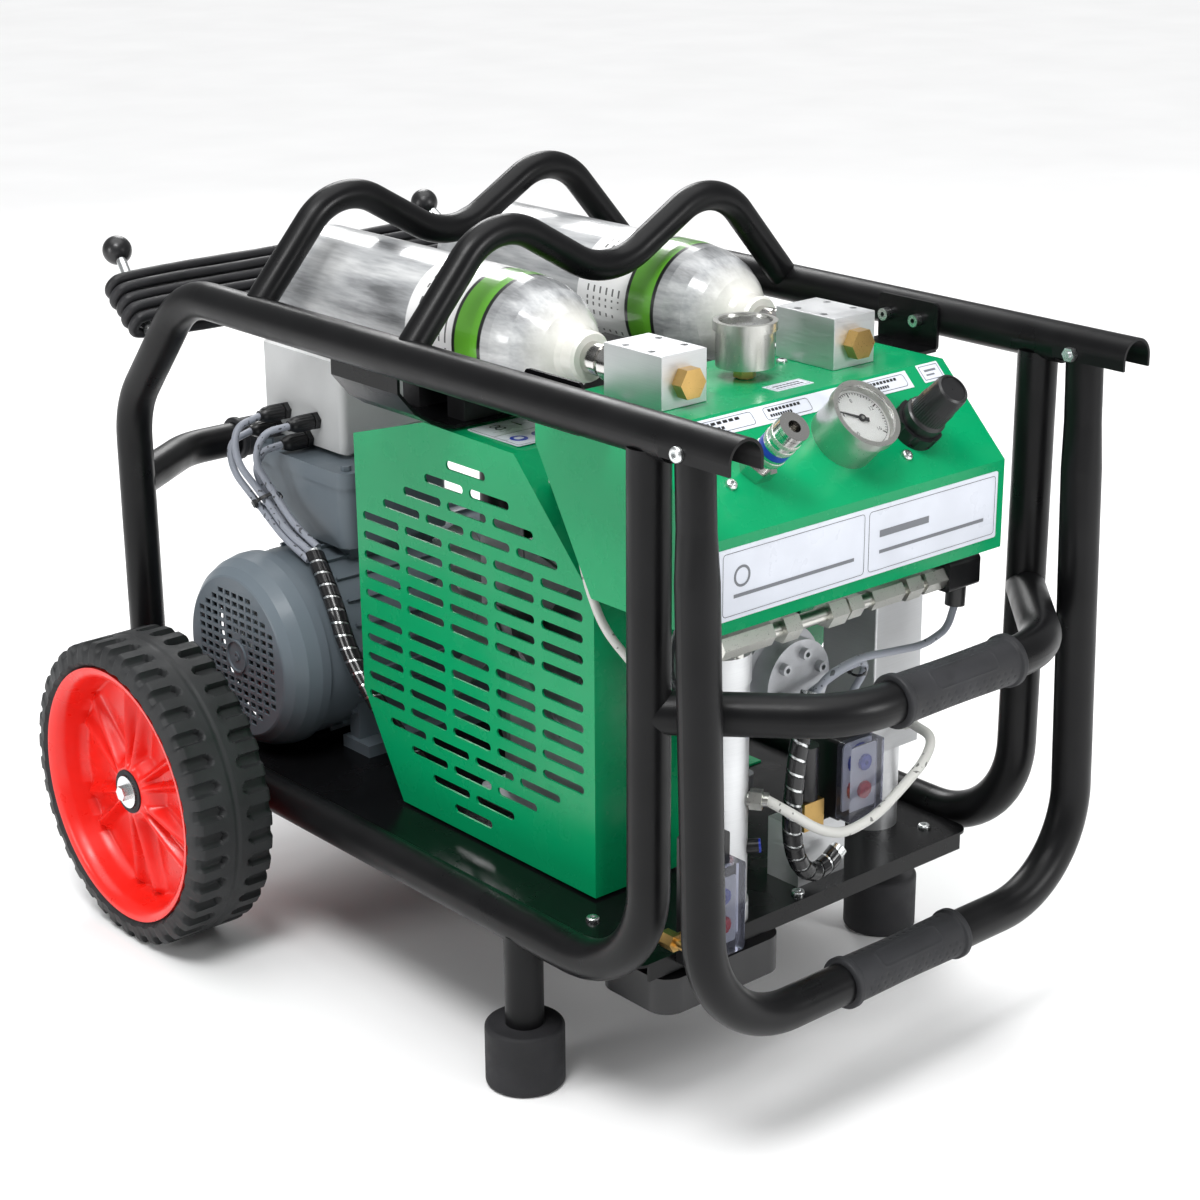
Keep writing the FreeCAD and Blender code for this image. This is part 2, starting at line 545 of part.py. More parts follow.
def gauge_needle(base, axis, across, start, reach):
    """Pointer with a round boss and a short tail."""
    side = axis.cross(across)
    centre = base + axis * start
    tip, tail = centre + across * reach, centre - across * (reach * 0.32)
    outline = [tip + side * 0.3, centre + side * 1.3, tail + side * 1.9]
    outline += [tail - side * 1.9, centre - side * 1.3, tip - side * 0.3]
    blade = Part.Face(Part.makePolygon(outline + outline[:1])).extrude(axis * 0.8)
    boss = Part.makeCylinder(3.4, 1.4, centre, axis)
    needle = fuse([blade, boss])
    return needle.cut(Part.makeCylinder(1.5 + RUNNING, 5, centre - axis, axis))


FRONT_GAUGE = (slope_point(*GAUGE_AT, 0), SLOPE_N, 29.5, 38.0, 10.0)
TOP_GAUGE = (V(3, BLOCK_Y, 606), V(0, 0, 1), 25.0, 39.0, 10.0)


def needle_direction(axis, up, clock_angle):
    """Unit vector at an angle clockwise from `up`, seen against the axis."""
    right = up.cross(axis)
    angle = math.radians(clock_angle)
    return up * math.cos(angle) + right * math.sin(angle)


def gauges():
    """Cases, dials, glasses and needles of the two gauges."""
    sets = {"cases": [], "dials": [], "glasses": [], "needles": []}
    ups = (SLOPE_UP, V(0, 1, 0))
    angles = (-62.0, -100.0)
    for gauge, up, clock in zip((FRONT_GAUGE, TOP_GAUGE), ups, angles):
        base, axis, radius, depth, cavity = gauge
        floor = depth - cavity
        sets["cases"].append(gauge_shell(*gauge))
        sets["dials"].append(gauge_disc(base, axis, radius - 2.1, floor, 0.6, 1.6))
        sets["glasses"].append(gauge_disc(base, axis, radius - 2.1, depth - 3, 1.6, 0))
        across = needle_direction(axis, up, clock)
        sets["needles"].append(gauge_needle(base, axis, across, floor + 1.6, radius * 0.72))
    return sets


def regulator_body():
    """Body behind the panel, and the lobed lock ring in front of it."""
    collar = slope_cyl(REGULATOR_AT, 22, 0, 13)
    for i in range(8):
        notch = slope_cyl(REGULATOR_AT, 4, 2, 14)
        notch.translate(SLOPE_UP * 24.5)
        notch.rotate(slope_point(*REGULATOR_AT, 0), SLOPE_N, 45 * i)
        collar = collar.cut(notch)
    return fuse([collar, slope_cyl(REGULATOR_AT, 11.5, -16, 0), slope_cyl(REGULATOR_AT, 20, -50, -8),
                 slope_cyl(REGULATOR_AT, 10, 13, 17)])


def regulator_knob():
    """Tapered knob with a wide skirt, turning on the regulator's spindle."""
    base = slope_point(*REGULATOR_AT, 13.4)
    skirt = Part.makeCylinder(18.5, 9, base, SLOPE_N)
    body = Part.makeCone(16.5, 14.5, 48, base, SLOPE_N)
    return fuse([skirt, body]).cut(Part.makeCylinder(10 + RUNNING, 4, base, SLOPE_N))


def coupling_body():
    """Plug-in air outlet: hexagon, barrel and socket."""
    at = tuple(slope_point(*COUPLING_AT, 0))
    top = tuple(slope_point(*COUPLING_AT, 12))
    hexagon_base = hexagon(27, at, top)
    barrel = slope_cyl(COUPLING_AT, 10.5, 12, 60)
    flange = slope_cyl(COUPLING_AT, 13.5, 58, 62)
    neck = slope_cyl(COUPLING_AT, 8.5, -20, 0)
    body = fuse([hexagon_base, barrel, flange, neck])
    return body.cut(slope_cyl(COUPLING_AT, 5.6, 38, 62))


def coupling_sleeve():
    """Sliding release sleeve round the outlet's barrel."""
    sleeve = slope_cyl(COUPLING_AT, 13.5, 21, 57.6)
    groove = slope_cyl(COUPLING_AT, 14.5, 30, 37).cut(slope_cyl(COUPLING_AT, 12.9, 30, 37))
    return sleeve.cut(groove).cut(slope_cyl(COUPLING_AT, 10.55, 20, 60))


# ---------------------------------------------------------------- side cover and belt side
def slot(y, z, length, height, x0, x1):
    """Round-ended cutter along Y."""
    r = height / 2
    y0, y1 = y - length / 2 + r, y + length / 2 - r
    return fuse([box(x0, x1, y0, y1, z - r, z + r), cyl(r, (x0, y0, z), (x1, y0, z)), cyl(r, (x0, y1, z), (x1, y1, z))])


def slot_places():
    """Centres of the cover's slots: two blocks of full rows, each stepping in to a single slot."""
    half = [1, 2, 3, 4] + [SLOTS_ACROSS] * 5
    places = []
    for sign in (1, -1):
        for row, count in enumerate(reversed(half)):
            z = SLOT_CENTRE[1] + sign * (SLOT_GAP / 2 + row * SLOT_ROW)
            for i in range(count):
                places.append((SLOT_CENTRE[0] + (i - (count - 1) / 2) * SLOT_PITCH, z))
    return places


def vent_cover():
    """Left side cover: a slotted sheet with a chamfered top, standing on the plate."""
    inner = []
    centre_y, centre_z = -30.0, 343.0
    for y, z in COVER_OUTLINE:
        dy, dz = centre_y - y, centre_z - z
        inner.append((y + math.copysign(COVER_T, dy), z + math.copysign(COVER_T, dz)))
    shell = prism_x(COVER_OUTLINE, COVER_X, COVER_INNER).cut(prism_x(inner, COVER_X + COVER_T, COVER_INNER))
    rear_gap = box(COVER_X + COVER_T, COVER_INNER, 70, 140, 152.5 + COVER_T, 530)
    shell = shell.cut(rear_gap).cut(box(COVER_X + 14, COVER_INNER, -190, 140, 150, 156))
    slots = [slot(y, z, *SLOT_SIZE, COVER_X - 1, COVER_X + COVER_T + 1) for y, z in slot_places()]
    shell = shell.cut(cyl(54, (-13, -210, CRANK_Z), (-13, -190, CRANK_Z)))
    return shell.cut(Part.makeCompound(slots))


def belt_outline(r1, r2):
    """Closed wire round the flywheel and the motor pulley, in the plane x = 0."""
    a, b = V(0, CRANK_Y, CRANK_Z), V(0, MOTOR_Y, MOTOR_Z)
    along = (b - a).normalize()
    across = V(1, 0, 0).cross(along)
    lean = math.asin((r1 - r2) / (b - a).Length)
    points = {}
    for key, sign in (("top", 1), ("low", -1)):
        normal = across * (sign * math.cos(lean)) + along * math.sin(lean)
        points[key] = (a + normal * r1, b + normal * r2)
    edges = [Part.LineSegment(*points["top"]).toShape(),
             Part.Arc(points["top"][1], b + along * r2, points["low"][1]).toShape(),
             Part.LineSegment(points["low"][1], points["low"][0]).toShape(),
             Part.Arc(points["low"][0], a - along * r1, points["top"][0]).toShape()]
    return Part.Wire(edges)


def belt_band(outer, inner, x0, x1):
    band = Part.Face(belt_outline(*outer)).cut(Part.Face(belt_outline(*inner)))
    band.translate(V(x0, 0, 0))
    return band.extrude(V(x1 - x0, 0, 0))


def drive_belt():
    outer = (FLYWHEEL_R + 4, MOTOR_PULLEY_R + 4)
    inner = (FLYWHEEL_R + 0.4, MOTOR_PULLEY_R + 0.4)
    return belt_band(outer, inner, PULLEY_X + 2, PULLEY_X + PULLEY_W - 2)


def belt_guard():
    """Sheet guard round the belt on the right, open towards the machine."""
    outer = (FLYWHEEL_R + 18, MOTOR_PULLEY_R + 18)
    inner = (FLYWHEEL_R + 16, MOTOR_PULLEY_R + 16)
    wall = belt_band(outer, inner, PULLEY_X - 12, PULLEY_X + PULLEY_W + 10)
    lid = Part.Face(belt_outline(*outer)).translated(V(PULLEY_X + PULLEY_W + 10, 0, 0)).extrude(V(2, 0, 0))
    slots = []
    for row in range(-5, 6):
        slots.append(slot(CRANK_Y, CRANK_Z + row * 15.6, 110 - abs(row) * 9, 7, 180, 190))
    foot = box(PULLEY_X - 6, PULLEY_X + PULLEY_W, CRANK_Y - 40, CRANK_Y + 40, PLATE_TOP, PLATE_TOP + 2)
    stay = box(PULLEY_X - 8, PULLEY_X - 6, CRANK_Y - 30, CRANK_Y + 30, PLATE_TOP, CRANK_Z - FLYWHEEL_R - 15.5)
    return fuse([wall, lid.cut(Part.makeCompound(slots)), foot, stay])


# ---------------------------------------------------------------- compressor
def crankcase():
    """Cast case on its pedestal, with the two bearing bores and the crank chamber."""
    axis = (CRANK_Y, CRANK_Z)
    body = cyl(72, (-78, *axis), (118, *axis))
    pedestal = box(-70, 110, -100, 20, PLATE_TOP + 12, CRANK_Z)
    foot = rounded_box(-88, 128, -120, 40, PLATE_TOP, PLATE_TOP + 14, 10)
    case = fuse([body, pedestal, foot])
    chamber = cyl(56, (-62, *axis), (102, *axis))
    return case.cut(chamber).cut(cyl(CRANK_R + RUNNING, (-90, *axis), (130, *axis)))


def finned_barrel(start, direction, length, core, fin, pitch):
    """Cylinder barrel with round cooling fins."""
    base, axis = V(*start), V(*direction)
    pieces = [Part.makeCylinder(core, length, base, axis)]
    for i in range(int(length / pitch)):
        pieces.append(Part.makeCylinder(fin, 3, base + axis * (4 + i * pitch), axis))
    return fuse(pieces)


def cylinders():
    """Forward high-pressure cylinder and upright low-pressure cylinder, with their heads."""
    x = -13.0
    front = finned_barrel((x, -112.5, CRANK_Z), (0, -1, 0), 130, 34, 50, 9)
    head = cyl(45, (x, -242.5, CRANK_Z), (x, -288, CRANK_Z))
    cover = cyl(37, (x, -288, CRANK_Z), (x, -308, CRANK_Z))
    screws = []
    for i in range(6):
        angle = math.radians(60 * i + 20)
        px, pz = x + 25 * math.cos(angle), CRANK_Z + 25 * math.sin(angle)
        screws.append(ring(5, 2.4, (px, -308, pz), (px, -314, pz)))
    top = finned_barrel((20, CRANK_Y, CRANK_Z + 72.5), (0, 0, 1), 62, 36, 52, 9)
    top_head = box(-30, 70, CRANK_Y - 48, CRANK_Y + 48, CRANK_Z + 134.5, CRANK_Z + 160)
    upright = fuse([top, top_head]).cut(cyl(72.5, (-80, CRANK_Y, CRANK_Z), (120, CRANK_Y, CRANK_Z)))
    return [fuse([front, head, cover] + screws), upright]


def crankshaft():
    """Crankshaft with its throw, the cooling fan on the left and the flywheel on the right."""
    axis = (CRANK_Y, CRANK_Z)
    shaft = cyl(CRANK_R, (-130, *axis), (PULLEY_X + PULLEY_W, *axis))
    web = cyl(34, (-10, *axis), (8, *axis))
    hub = cyl(26, (-128, *axis), (-102, *axis))
    wheel = ring(FLYWHEEL_R, 84, (PULLEY_X, *axis), (PULLEY_X + PULLEY_W, *axis))
    boss = cyl(28, (PULLEY_X, *axis), (PULLEY_X + PULLEY_W, *axis))
    pieces = [shaft, web, hub, wheel, boss]
    for i in range(5):
        spoke = box(PULLEY_X + 6, PULLEY_X + 16, CRANK_Y - 9, CRANK_Y + 9, CRANK_Z + 24, CRANK_Z + 88)
        spoke.rotate(V(0, *axis), V(1, 0, 0), 72 * i)
        pieces.append(spoke)
    for i in range(8):
        blade = box(-118, -115, CRANK_Y - 20, CRANK_Y + 20, CRANK_Z + 20, CRANK_Z + 108)
        blade.rotate(V(-116.5, *axis), V(0, 0, 1), 32)
        blade.rotate(V(0, *axis), V(1, 0, 0), 45 * i)
        pieces.append(blade)
    return fuse(pieces)


# ---------------------------------------------------------------- motor
def motor_housing():
    """Motor frame with feet, and both end shields with their bearing bores."""
    axis = (MOTOR_Y, MOTOR_Z)
    shell = cyl(MOTOR_R - 4, (COWL_END + 1, *axis), (120, *axis))
    shield = cyl(62, (120, *axis), (132, *axis))
    rib_solids = []
    for i in range(24):
        rib = box(-110, 112, MOTOR_Y - 1.5, MOTOR_Y + 1.5, MOTOR_Z + 90, MOTOR_Z + MOTOR_R)
        rib.rotate(V(0, *axis), V(1, 0, 0), 15 * i + 7.5)
        rib_solids.append(rib)
    feet = [box(-110, 90, MOTOR_Y + s * 80 - 22, MOTOR_Y + s * 80 + 22, PLATE_TOP, PLATE_TOP + 12) for s in (-1, 1)]
    webs = [box(-105, 85, MOTOR_Y + s * 72 - 8, MOTOR_Y + s * 72 + 8, PLATE_TOP + 10, MOTOR_Z - 50) for s in (-1, 1)]
    saddle = box(-80, 20, MOTOR_Y - 40, MOTOR_Y + 50, MOTOR_Z + 80, 350)
    body = fuse([shell, shield, saddle] + rib_solids + feet + webs)
    body = body.cut(cyl(66, (-128, *axis), (108, *axis)))
    return body.cut(cyl(SHAFT_R + RUNNING, (-160, *axis), (140, *axis)))


def motor_fan_cover():
    """Domed cowl with a slotted round grille."""
    cx, face = COWL_END, GRILLE_X
    profile = [(cx, 98), (cx - 10, 98), (cx - 24, 95), (cx - 36, 89), (cx - 43, GRILLE_R + 2), (face, GRILLE_R),
               (face, 0), (face + 2, 0), (face + 2, GRILLE_R - 2), (cx - 41, GRILLE_R), (cx - 34, 87),
               (cx - 23, 93), (cx - 10, 96), (cx, 96)]
    cowl = revolve_x(profile, MOTOR_Y, MOTOR_Z)
    openings = []
    for column in range(-6, 7):
        for row in range(-8, 9):
            y, z = MOTOR_Y + column * 12.0, MOTOR_Z + row * 9.0
            reach = math.hypot(y - MOTOR_Y, z - MOTOR_Z)
            if 20 < reach < GRILLE_R - 9:
                openings.append(box(face - 1, face + 3, y - 4.5, y + 4.5, z - 2.8, z + 2.8))
    return cowl.cut(Part.makeCompound(openings))


def motor_rotor():
    """Shaft with the rotor core, the cooling fan and the belt pulley."""
    axis = (MOTOR_Y, MOTOR_Z)
    pieces = [cyl(SHAFT_R, (-182, *axis), (PULLEY_X + PULLEY_W, *axis)), cyl(50, (-100, *axis), (90, *axis)),
              cyl(MOTOR_PULLEY_R, (PULLEY_X, *axis), (PULLEY_X + PULLEY_W, *axis)),
              cyl(24, (-180, *axis), (-156, *axis)), cyl(74, (-159, *axis), (-156, *axis))]
    for i in range(7):
        blade = box(-178, -158, MOTOR_Y - 1.5, MOTOR_Y + 1.5, MOTOR_Z + 22, MOTOR_Z + 72)
        blade.rotate(V(0, *axis), V(1, 0, 0), 360 / 7 * i)
        pieces.append(blade)
    return fuse(pieces)


def terminal_box():
    """Cast connection box on the motor, with its lid and four lid screws."""
    body = rounded_box(-93, 37, 234, 390, 350, 412, 14)
    body = body.cut(rounded_box(-88, 32, 239, 385, 355, 412, 10))
    lid = rounded_box(-95, 39, 232, 392, 412, 428, 14)
    screws = [hexagon(9, (x, y, 428), (x, y, 433)) for x in (-82, 26) for y in (245, 379)]
    return [body, fuse([lid] + screws)]


def control_box():
    """Plastic switch box on the connection box: base, lid and lid screws."""
    base = rounded_box(-63, 57, 275, 414, 433, 477, 8)
    base = base.cut(rounded_box(-60, 54, 278, 411, 436, 477, 6)).cut(box(10, 40, 370, 400, 430, 434))
    lid = rounded_box(-63, 57, 275, 414, 477, 525, 8)
    lid = lid.cut(rounded_box(-60, 54, 278, 411, 477, 522, 6))
    feet = [cyl(7, (x, y, 428), (x, y, 433)) for x in (-45, 5) for y in (292, 362)]
    return [fuse([base] + feet), lid]


GLANDS = [(372.0, 460.0), (320.0, 460.0), (389.0, 441.0), (334.0, 438.0)]
CORD_GLAND = (57.0, 318.0, 486.0)


def cable_glands():
    """Four glands on the left of the switch box, and the power cord's gland on its right."""
    solids = []
    for y, z in GLANDS:
        nut = hexagon(15, (-63, y, z), (-70, y, z))
        solids.append(fuse([nut, cyl(8, (-70, y, z), (-88, y, z)), cone(8, 5.5, (-88, y, z), (-98, y, z))]))
    x, y, z = CORD_GLAND
    nut = hexagon(20, (x, y, z), (x + 8, y, z))
    solids.append(fuse([nut, cyl(10.5, (x + 8, y, z), (x + 24, y, z)), cone(10.5, 7, (x + 24, y, z), (x + 31, y, z))]))
    return solids


# ---------------------------------------------------------------- cables and hoses held by the machine
LOOM_CABLES = [
    [(-96, 372, 460), (-131, 366, 455), (-139, 352, 425), (-124, 325, 388), (-128, 285, 366), (-124, 247, 351)],
    [(-96, 320, 460), (-124, 326, 457), (-130, 334, 428), (-116, 322, 394), (-120, 285, 372), (-118, 247, 357)],
    [(-96, 389, 441), (-127, 383, 436), (-136, 364, 412), (-128, 333, 383), (-130, 290, 360), (-128, 249, 345)],
    [(-96, 334, 438), (-118, 340, 434), (-124, 343, 411), (-112, 326, 383), (-116, 288, 361), (-116, 248, 346)]]
PANEL_CABLES = [
    [(172, -318, 378), (160, -321, 359), (126, -325, 353), (82, -326, 358), (40, -326, 363), (2, -326, 356),
     (-17, -325, 338)],
    [(62, -300, 318), (76, -302, 336), (62, -312, 351), (30, -317, 353), (-8, -318, 342)]]
WRAP_LEFT = [(-121.5, 249, 352), (-130, 208, 319), (-137, 176, 274), (-136, 134, 232), (-134, 92, 200),
             (-125, 66, 172)]
WRAP_FRONT = [(-13, -322, 345), (-28, -325, 308), (-34, -325, 262), (-33, -322, 215), (-16, -319, 178),
              (14, -316, 166), (38, -314.5, 184)]
AIR_HOSE = [(-66, -325, 262), (-53, -343, 251), (-28, -348, 231), (4, -348, 217), (44, -347, 220),
            (84, -341, 233), (120, -336, 248), (143, -325, 261), (152, -287, 262)]
COVER_HOSE = [(-130, -174, 512), (-143, -172, 486), (-154, -197, 445), (-152, -216, 407), (-133, -232, 374)]


def control_cables():
    solids = [cord(f"loom_cable_{i}", route, 3.6) for i, route in enumerate(LOOM_CABLES)]
    return solids + [cord(f"panel_cable_{i}", route, 3.4) for i, route in enumerate(PANEL_CABLES)]


def air_hoses():
    return [cord("air_hose", AIR_HOSE, 4.5), cord("cover_hose", COVER_HOSE, 3.8)]


def spiral_wraps():
    return [cord("wrap_left", WRAP_LEFT, 9.0), cord("wrap_front", WRAP_FRONT, 8.5)]


# ---------------------------------------------------------------- front fittings
FILTER_AT, FILTER_TOP = (-91.0, -292.0), 394.0


def purifier_towers():
    """Tall filter tube, and the square dryer block on its round foot."""
    x, y = FILTER_AT
    tube = fuse([cyl(25.5, (x, y, 165), (x, y, 372)), cyl(27, (x, y, PLATE_TOP), (x, y, 168)),
                 cyl(27, (x, y, 368), (x, y, FILTER_TOP))])
    block = rounded_box(120, 182, -273, -208, 232, 430, 2)
    foot = cyl(24, (152, -245, PLATE_TOP), (152, -245, 232))
    return [tube, fuse([block, foot])]


def pipe_fittings():
    """Nickel pipe under the panel, the cover's elbow and its drain tube, and the hose ends."""
    y, z = -318, 409
    pipe = [cyl(6.5, (-120, y, z), (150, y, z))]
    for start, end, across in ((-120, -62, 19), (-50, -32, 22), (4, 24, 22), (28, 44, 19), (58, 96, 17),
                               (100, 118, 20), (124, 150, 19)):
        pipe.append(hexagon(across, (start, y, z), (end, y, z)))
    fx, fy = FILTER_AT
    drop = cyl(5, (fx, y + 4, z), (fx, y + 4, FILTER_TOP))
    stub = [cyl(6, (-130, -131, 509.5), (-130, -167, 543)), hexagon(19, (-130, -134, 513), (-130, -141, 519.5)),
            hexagon(16, (-130, -147, 525), (-130, -158, 535))]
    elbow = [cyl(7.5, (-130, -166, 548), (-130, -170, 524)), hexagon(17, (-130, -169, 528), (-130, -174, 508))]
    drain = [cyl(4, (-120, -170, 505), (-120, -211, 424)), hexagon(12, (-122, -168, 512), (-120, -179, 490))]
    ends = [(fx + 0.6 * d, fy - 0.8 * d, 262) for d in (23, 27, 38, 43)]
    hose_end = fuse([cyl(6, ends[0], ends[3]), hexagon(16, ends[1], ends[2])])
    tower_end = fuse([hexagon(14, (152, -287, 262), (152, -276, 262)), cyl(6, (152, -276, 262), (152, -266, 262))])
    return [fuse(pipe + [drop]), fuse(stub + elbow + drain), hose_end, tower_end]


def sensor_plug():
    """Right-angle plug on the end of the pipe."""
    body = rounded_box(150, 190, -330, -306, 396, 424, 4, "x")
    return fuse([body, cyl(9, (173, -318, 396), (172, -318, 378))])


def brass_fittings():
    """Block plugs, the top gauge's stem, the drain valve body and a small drain cock."""
    solids = []
    front = BLOCK_Y - BLOCK_SIZE[1] / 2
    for side in (-1, 1):
        x = side * BOTTLE_X
        solids.append(hexagon(24, (x, front, 616), (x, front - 11, 616)))
    solids.append(fuse([hexagon(17, (3, BLOCK_Y, PANEL_TOP + 1), (3, BLOCK_Y, 606)),
                        cyl(6, (3, BLOCK_Y, 593), (3, BLOCK_Y, PANEL_TOP + 1))]))
    valve = fuse([box(-2, 22, -308, -284, 206, 232), cyl(6, (-7, -296, 219), (26, -296, 219))])
    solids.append(valve)
    cock = [cyl(4, (-163, -331, 172), (-180, -331, 172)), hexagon(14, (-180, -323, 172), (-180, -338, 172)),
            cyl(4, (-180, -338, 172), (-180, -348, 172))]
    solids.append(fuse(cock))
    solids.append(slope_cyl(GAUGE_AT, 7, -30, 0))
    return solids


def switch_bodies():
    """Two pressure switches, and the valve's coil."""
    return [rounded_box(36, 76, -310, -262, 206, 281, 3, "y"), rounded_box(-163, -123, -340, -319, 140, 257, 3, "y"),
            cyl(11.5, (10, -296, 232), (10, -296, 282))]


def switch_covers():
    """Clear covers in front of the pressure switches."""
    return [rounded_box(35, 77, -326, -310, 208, 281, 4, "y"), rounded_box(-165, -120, -356, -340, 154, 235, 4, "y")]


def valve_base():
    """Drilled block under the drain valve."""
    block = box(0, 58, -300, -262, PLATE_TOP, 206)
    return block.cut(cyl(4, (29, -292, 198), (29, -292, 206)))


def drain_tray():
    """Shallow box under the plate, with a rounded right end."""
    body = rounded_box(-182, -40, -326, -238, 97, 130, 20)
    return fuse([body, box(-170, -60, -300, -260, 130, PLATE_TOP - PLATE_T)])


# ---------------------------------------------------------------- power cord and its posts
def cord_post(side):
    """Rod welded square to the sloping tube."""
    x, y, z = POST_TOP
    foot = (side * POST_FOOT[0], *POST_FOOT[1:])
    rod = cyl(5, foot, (side * x, y, z))
    direction = V(0, REAR_Y - SLOPE_TOP_Y, SLOPE_END_Z - RAIL_Z).normalize()
    base = V(side * FRAME_X, SLOPE_TOP_Y, RAIL_Z)
    return rod.cut(Part.makeCylinder(TUBE_R, 220, base, direction))


def post_knob(side):
    x, y, z = POST_TOP
    ball = Part.makeSphere(14.5, V(side * x, y, z))
    return ball.cut(cyl(5, (side * POST_FOOT[0], *POST_FOOT[1:]), (side * x, y, z)))


def power_cord_hank():
    """Outer shape of the turns wound round both posts: a ring with two straight sides."""
    foot, top = V(*POST_FOOT), V(*POST_TOP)
    along = V(0, top.y - foot.y, top.z - foot.z).normalize()
    across = V(1, 0, 0).cross(along)
    middle = top - (top - foot).normalize() * HANK_DROP
    start = V(0, middle.y, middle.z) - along * (HANK_DEPTH / 2)

    def loop(radius):
        a, b = start - V(HANK_HALF, 0, 0), start + V(HANK_HALF, 0, 0)
        edges = [Part.LineSegment(a + across * radius, b + across * radius).toShape(),
                 Part.Arc(b + across * radius, b + V(radius, 0, 0), b - across * radius).toShape(),
                 Part.LineSegment(b - across * radius, a - across * radius).toShape(),
                 Part.Arc(a - across * radius, a - V(radius, 0, 0), a + across * radius).toShape()]
        return Part.Face(Part.Wire(edges))
    band = loop(HANK_OUTER).cut(loop(HANK_INNER))
    return band.extrude(along * HANK_DEPTH)


CORD_LEAD = [(86, 318, 486), (140, 319, 481), (180, 345, 484), (186, 385, 506), (158, 406, 534), (112, 409, 549)]


def power_plug():
    """Round rubber mains plug with two pins, tied under the hank."""
    y, z = 437.6, 552.5
    body = fuse([cyl(19, (30, y, z), (58, y, z)), cone(19, 10, (58, y, z), (84, y, z))])
    pins = [cyl(2.4, (30, y, z + s * 9.5), (11, y, z + s * 9.5)) for s in (-1, 1)]
    return fuse([body] + pins)


# ---------------------------------------------------------------- all nodes
def build():
    for side, word in ((-1, "left"), (1, "right")):
        save(f"side_frame_{word}", side_frame(side))
        save(f"bottle_{word}", bottle(side))
        save(f"wheel_{word}_rim", wheel_rim(side))
        save(f"wheel_{word}_tyre", wheel_tyre(side))
    for word, y in GUARD_YS.items():
        save(f"bottle_guard_{word}", bottle_guard(y))
    save("front_handle", carry_handle((223, -355), (117, -GRIP_Y), HANDLE_Z_FRONT, UPRIGHT_Y, 90))
    save("rear_handle", carry_handle((223, 399), (128, GRIP_Y), HANDLE_Z_REAR, REAR_Y, 70))
    save("carry_grips", grip(-GRIP_Y, HANDLE_Z_FRONT), grip(GRIP_Y, HANDLE_Z_REAR))
    save("fold_handle", fold_handle())
    save("fold_grip", tilted(grip(PIVOT_Y, FOLD_BOTTOM_Z)))
    save("base_plate", base_plate())
    save("rubber_feet", rubber_foot(-1), rubber_foot(1))
    save("wheel_axles", wheel_axle(-1), wheel_axle(1))
    save("fasteners", *fasteners())

    save("bottle_necks", bottle_neck(-1), bottle_neck(1))
    save("manifold_blocks", manifold_block(-1), manifold_block(1))
    save("bottle_cradle", bottle_cradle())
    save("cradle_pads", *cradle_pads())

    save("control_panel", control_panel())
    save("label_plates", *label_plates())
    gauge_sets = gauges()
    save("gauge_cases", *gauge_sets["cases"])
    save("gauge_dials", *gauge_sets["dials"])
    save("gauge_glasses", *gauge_sets["glasses"])
    save("front_gauge_needle", gauge_sets["needles"][0])
    save("top_gauge_needle", gauge_sets["needles"][1])
    save("regulator_body", regulator_body())
    save("regulator_knob", regulator_knob())
    save("coupling_body", coupling_body())
    save("coupling_sleeve", coupling_sleeve())

    save("vent_cover", vent_cover())
    save("belt_guard", belt_guard())
    save("drive_belt", drive_belt())
    save("crankcase", crankcase())
    save("cylinders", *cylinders())
    save("crankshaft", crankshaft())
    save("motor_housing", motor_housing())
    save("motor_fan_cover", motor_fan_cover())
    save("motor_rotor", motor_rotor())
    save("terminal_box", *terminal_box())
    save("control_box", *control_box())
    save("cable_glands", *cable_glands())

    save("control_cables", *control_cables())
    save("spiral_wraps", *spiral_wraps())
    save("air_hoses", *air_hoses())
    save("purifier_towers", *purifier_towers(), valve_base())
    save("pipe_fittings", *pipe_fittings())
    save("brass_fittings", *brass_fittings())
    save("switch_bodies", *switch_bodies(), sensor_plug())
    save("switch_covers", *switch_covers())
    save("drain_tray", drain_tray())

    save("cord_posts", cord_post(-1), cord_post(1))
    save("post_knobs", post_knob(-1), post_knob(1))
    save("power_cord_hank", power_cord_hank())
    save("power_cord_lead", cord("power_cord_lead", CORD_LEAD, CORD_R))
    save("power_plug", power_plug())


os.makedirs("parts", exist_ok=True)
build()
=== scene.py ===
"""Looks of the twin stack compressor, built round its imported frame."""

import math
import random

import bpy
from mathutils import Matrix, Vector


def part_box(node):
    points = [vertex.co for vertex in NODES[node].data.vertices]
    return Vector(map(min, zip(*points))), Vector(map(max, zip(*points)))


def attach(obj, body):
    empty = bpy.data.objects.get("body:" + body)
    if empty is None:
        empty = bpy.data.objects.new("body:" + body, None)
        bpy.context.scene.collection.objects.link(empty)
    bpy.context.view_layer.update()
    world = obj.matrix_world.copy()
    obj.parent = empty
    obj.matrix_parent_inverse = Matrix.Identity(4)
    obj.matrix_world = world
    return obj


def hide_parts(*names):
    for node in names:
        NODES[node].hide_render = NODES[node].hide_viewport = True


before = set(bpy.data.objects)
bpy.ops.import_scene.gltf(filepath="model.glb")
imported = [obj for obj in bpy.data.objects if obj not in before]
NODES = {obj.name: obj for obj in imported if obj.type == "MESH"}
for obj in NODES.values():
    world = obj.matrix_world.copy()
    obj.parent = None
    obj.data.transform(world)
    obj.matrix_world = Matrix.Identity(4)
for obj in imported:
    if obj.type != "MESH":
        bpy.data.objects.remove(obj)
SCENE = bpy.context.scene
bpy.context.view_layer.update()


def middle(node):
    low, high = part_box(node)
    return (low + high) / 2


